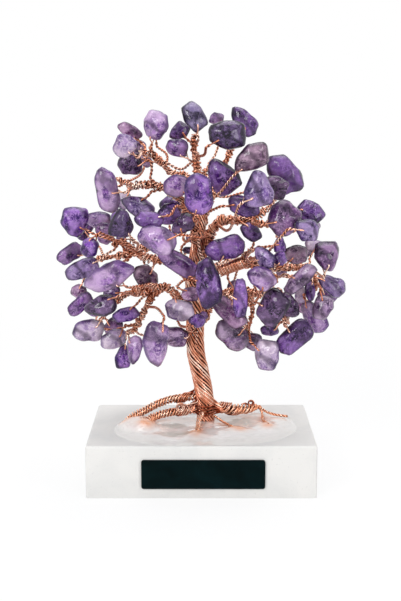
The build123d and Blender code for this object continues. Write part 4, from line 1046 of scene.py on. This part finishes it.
def growChips(node, number):
    chips = [growChip(node, number + k, *shell) for k, shell in enumerate(closedShells(node))]
    faces = np.concatenate([ballFaces + k * len(ballWays) for k in range(len(chips))])
    points = np.concatenate([places for places, _ in chips])
    piece = newPiece("tumbledChips_" + node[5:], points, [], faces.tolist())
    for mark in chips[0][1]:
        keepMark(piece.data, mark, np.concatenate([marks[mark] for _, marks in chips]))
    piece.data.materials.append(amethyst)
    place(piece, "amethyst", node)
    return len(chips)


chipCount = 0
for name in [n for n in nodes if n.startswith("gems_")]:
    chipCount += growChips(name, chipCount + 1)
print("chips grown:", chipCount)


# The winding on the right mid limb and the right root's two tails

windingLook = {"sway": 0.22, "swaySize": 1.4, "crease": 0.75, "wires": 2, "points": 0.25, "limbPoints": 0.1}


def layWinding():
    winding, radius = tubeLine(*closedShells("limb_winding")[0])
    first = smoothed(resampled(winding, windingLook["points"] * mm), 1)
    limb = bundleLines[carrierOf(first[len(first) // 2], limbNames)[0]][0]
    middle = nearestOn(resampled(limb, windingLook["limbPoints"] * mm), first)
    along = unit(np.gradient(middle, axis=0))
    lines, ways = [], []
    for number in range(windingLook["wires"]):  # The second wire lies half a turn on from the first
        out = (first - middle) * (1 - 2 * number)
        sway = np.array([noise.noise(Vector(p / (windingLook["swaySize"] * mm)) + Vector((0, 0, 9 * number)))
                         for p in first]) * windingLook["sway"] * mm
        lines.append(smoothed(middle + out + along * sway[:, None], 2))
        ways.append(unit(out) * windingLook["crease"])
    layWires("woundWire", ["limb_winding"], lines, ways, drawnWire,
             {"Wire Radius": radius, "Sides": 8, "Material": copper})


layWinding()
tailLines = [resampled(tubeLine(*shell)[0], 0.5 * mm) for shell in closedShells("right_root_tails")]
layWires("twistedRootTails", ["right_root_tails"], tailLines, None, twistedBundle, {
    "Strand Count": 3, "Ring Radius": 0.26 * mm, "Wire Radius": 0.24 * mm, "Twist Length": 4.0 * mm,
    "Point Spacing": 0.4 * mm, "Wander": 0.04 * mm, "End Share": 0.5, "End Length": 2.0 * mm, "Sides": 6,
    "Material": stoneLitCopper})


# The resin pool: a lumpy mound inside the outline of its solid, higher round the roots

resinLook = {
    "around": 160, "rings": 44, "height": 0.7, "least": 0.2, "lump": 0.2, "lumpSize": 7.0, "feather": 6.5,
    "blendFeather": 11.0, "moundFeather": 2.2, "tipLift": 0.75, "tipReach": 2.7, "sideReach": 1.6,
    "lowUpTo": 3.6, "highShare": 0.3, "tipGlow": 0.9, "sideGlow": 0.55, "moundGlow": 0.2, "rimGlow": 0.5,
    "glowRing": (0.85, 0.16), "moundCurve": 0.7, "edgeLump": 0.9, "bearingReach": 0.12, "rootPoints": 0.7,
    # Mounds and clear patches: place across and back, half width, half depth, and a mound's height. The first
    # mound holds the ends of both left roots, and the copper in it is painted on it, with a painted glow
    # round its back rim
    "mounds": ((-22.0, -2.5, 7.0, 9.5, 2.1), (8.0, -12.0, 12.0, 7.0, 0.5)),
    "clear": ((13.0, 0.5, 5.5, 6.0), (-9.5, -3.5, 5.0, 3.5), (-12.0, 12.0, 5.0, 5.0),
              (-8.0, -14.0, 6.0, 3.0))}


def eased(share):
    share = np.clip(share, 0, 1)
    return share * share * (3 - 2 * share)


def pourResin():
    look, around = resinLook, resinLook["around"]
    low, high = (np.array(corner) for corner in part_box("resin_pool"))
    centre = (low + high)[:2] / 2
    flat = closedShells("resin_pool")[0][0][:, :2] - centre
    bearings, distances = np.arctan2(flat[:, 1], flat[:, 0]), np.linalg.norm(flat, axis=1)
    angles = np.linspace(-math.pi, math.pi, around, endpoint=False)
    turned = np.abs((bearings - angles[:, None] + math.pi) % math.tau - math.pi)
    reaches = np.array([distances[row < look["bearingReach"]].max() for row in turned])
    rim = np.stack([np.cos(angles), np.sin(angles)], axis=1) * reaches[:, None]
    shares = np.arange(1, look["rings"] + 1)[:, None] / look["rings"]
    spots = np.concatenate([[centre], (centre + rim * shares[..., None]).reshape(-1, 2)])
    inset = np.concatenate([[reaches.min()], (reaches * (1 - shares)).ravel()]) / mm
    lump = np.array([noise.fractal(Vector((x, y, 0)) / (look["lumpSize"] * mm), 1.0, 2.0, 3)
                     for x, y in spots])

    rootPoints = np.concatenate([resampled(bundleLines[name][0], look["rootPoints"] * mm)
                                 for name in rootNames] + tailLines)
    gaps = gap(spots[:, None], rootPoints[:, :2])
    lowRoot = rootPoints[gaps.argmin(axis=1), 2] < low[2] + look["lowUpTo"] * mm
    tips = np.concatenate([bundleLines[name][0][-6:] for name in rootNames if name != "right_root"]
                          + [line[-4:] if line[-1][2] < line[0][2] else line[:4] for line in tailLines])
    nearTip = np.exp(-(gap(spots[:, None], tips[:, :2]).min(axis=1) / (look["tipReach"] * mm)) ** 2)
    beside = np.exp(-(gaps.min(axis=1) / (look["sideReach"] * mm)) ** 2)
    beside *= np.where(lowRoot, 1, look["highShare"])

    offs = []
    for x, y, halfWidth, halfDepth, *_ in look["mounds"] + look["clear"]:
        offs.append((((spots / mm - (x, y)) / (halfWidth, halfDepth)) ** 2).sum(axis=1))
    mounds = [mound[4] * np.maximum(0, 1 - off) ** look["moundCurve"]
              for mound, off in zip(look["mounds"], offs)]
    mound = np.maximum(*mounds)
    behind = spots[:, 1] / mm > look["mounds"][0][1]
    ringAt, ringWide = look["glowRing"]
    # Copper colour painted on the resin: over the first mound and near the root tips for the copper in it,
    # and as a painted glow of the copper's light at the mound's back rim and beside the low roots
    warm = (look["moundGlow"] * np.maximum(0, 1 - offs[0])
            + look["rimGlow"] * np.exp(-((offs[0] - ringAt) / ringWide) ** 2) * behind)
    edge, blend = (eased(inset / (look[name] * (1 + look["edgeLump"] * lump)))
                   for name in ("feather", "blendFeather"))
    height = look["height"] + lump * look["lump"] + nearTip * look["tipLift"]
    height = edge * np.maximum(look["least"], height)
    height += mound * eased(inset / look["moundFeather"])

    ring = [(k, (k + 1) % around) for k in range(around)]
    last = 1 + (look["rings"] - 1) * around
    faces = [(0, 1 + a, 1 + b) for a, b in ring]
    faces += [(start + a, start + a + around, start + b + around, start + b)
              for start in range(1, last, around) for a, b in ring]
    faces.append(tuple(range(last + around - 1, last - 1, -1)))
    piece = newPiece("resinMound", np.column_stack([spots, low[2] + height * mm]), [], faces)
    mesh = piece.data
    mesh.polygons[-1].use_smooth = False
    for side in mesh.edges:
        side.use_edge_sharp = min(side.vertices) >= last
    keepMark(mesh, "copperGlow", np.minimum(1, warm + nearTip * look["tipGlow"] + beside * look["sideGlow"]))
    keepMark(mesh, "clearShare", np.minimum(1, sum(np.exp(-off ** 2) for off in offs[len(mounds):])))
    keepMark(mesh, "rimShare", (1 - blend) * (1 - np.minimum(1, mound)))
    mesh.materials.append(resin)
    place(piece, "clear_resin", "resin_pool")


pourResin()
print("resin poured")

for name, material in (("base_block", whiteStone), ("name_plate", platePlastic)):
    nodes[name].data.materials.clear()
    nodes[name].data.materials.append(material)


# Floor, light and camera

stageLook = {
    "floor": "#F6F6F6", "room": "#F0F3F8", "roomLevel": 0.5, "shadowShare": 0.16, "fadeFrom": 0.10,
    "fadeTo": 0.30,
    # Lamps: place, size and power
    "lamps": {"keyLamp": ((-0.35, -0.55, 0.45), 0.3, 2.5), "fillLamp": ((0.50, -0.45, 0.25), 0.25, 0.95),
              "topLamp": ((0.05, 0.10, 0.65), 0.5, 2.5)}}
cameraLook = {"place": (-0.3, -369.3, 129.7), "tiltDown": 0.1825, "focalPixels": 1101.0,
              "longSidePixels": 601.0, "sensor": 36.0}


def seenWhite(add):
    # How far a ray shows the backdrop itself: straight, mirrored in the part or through it
    rays = add("ShaderNodeLightPath").node.outputs
    seen = rays["Is Camera Ray"]
    for name in ("Is Glossy Ray", "Is Transmission Ray"):
        seen = add("ShaderNodeMath", (seen, rays[name]), operation="MAXIMUM")
    return seen


def setAt(piece, spot, turned):
    piece.location = spot
    piece.rotation_euler = turned
    bpy.context.scene.collection.objects.link(piece)


def makeStage():
    look = stageLook
    bpy.ops.mesh.primitive_plane_add(size=8.0, location=(0, 0, 0))
    floor = bpy.context.object
    floor.name = "paleFloor"
    material, add, spot = newMaterial("paleFloor")
    surfaced(material, {"Base Color": look["floor"], "Roughness": 0.8})
    away = add("ShaderNodeVectorMath", (spot,), out="Value", operation="LENGTH")
    fade = add("ShaderNodeMapRange", {"Value": away, "From Min": look["fadeFrom"], "From Max": look["fadeTo"],
                                      "To Min": 1 - look["shadowShare"], "To Max": 1.0})
    share = add("ShaderNodeMath", (seenWhite(add), fade), operation="MULTIPLY")
    white = add("ShaderNodeEmission", ("#FFFFFF", 1.0))
    tree = material.node_tree
    mixed = add("ShaderNodeMixShader", (share, tree.nodes["Principled BSDF"].outputs[0], white))
    setInputs(tree, tree.nodes["Material Output"], {"Surface": mixed})
    floor.data.materials.append(material)

    world = bpy.data.worlds.new("studio")
    bpy.context.scene.world = world
    world.use_nodes = True
    world.node_tree.nodes.clear()
    add = partial(addNode, world.node_tree)
    room = add("ShaderNodeBackground", (look["room"], look["roomLevel"]))
    white = add("ShaderNodeBackground", ("#FFFFFF", 1.0))
    mixed = add("ShaderNodeMixShader", (seenWhite(add), room, white))
    output = world.node_tree.nodes.new("ShaderNodeOutputWorld")
    setInputs(world.node_tree, output, {"Surface": mixed})

    for name, (spot, size, power) in look["lamps"].items():
        lamp = bpy.data.lights.new(name, "AREA")
        lamp.size, lamp.energy = size, power
        aim = Vector((0, 0, 0.06)) - Vector(spot)
        setAt(bpy.data.objects.new(name, lamp), spot, aim.to_track_quat("-Z", "Y").to_euler())


def makeCamera():
    look = cameraLook
    camera = bpy.data.cameras.new("photoCamera")
    camera.sensor_width = look["sensor"]
    camera.lens = look["focalPixels"] / look["longSidePixels"] * look["sensor"]
    camera.clip_start = 0.01
    holder = bpy.data.objects.new("photoCamera", camera)
    setAt(holder, [v * mm for v in look["place"]], (math.pi / 2 - look["tiltDown"], 0, 0))
    bpy.context.scene.camera = holder


makeStage()
makeCamera()
bpy.context.scene.view_settings.view_transform = "Standard"
print("stage, light and camera set")
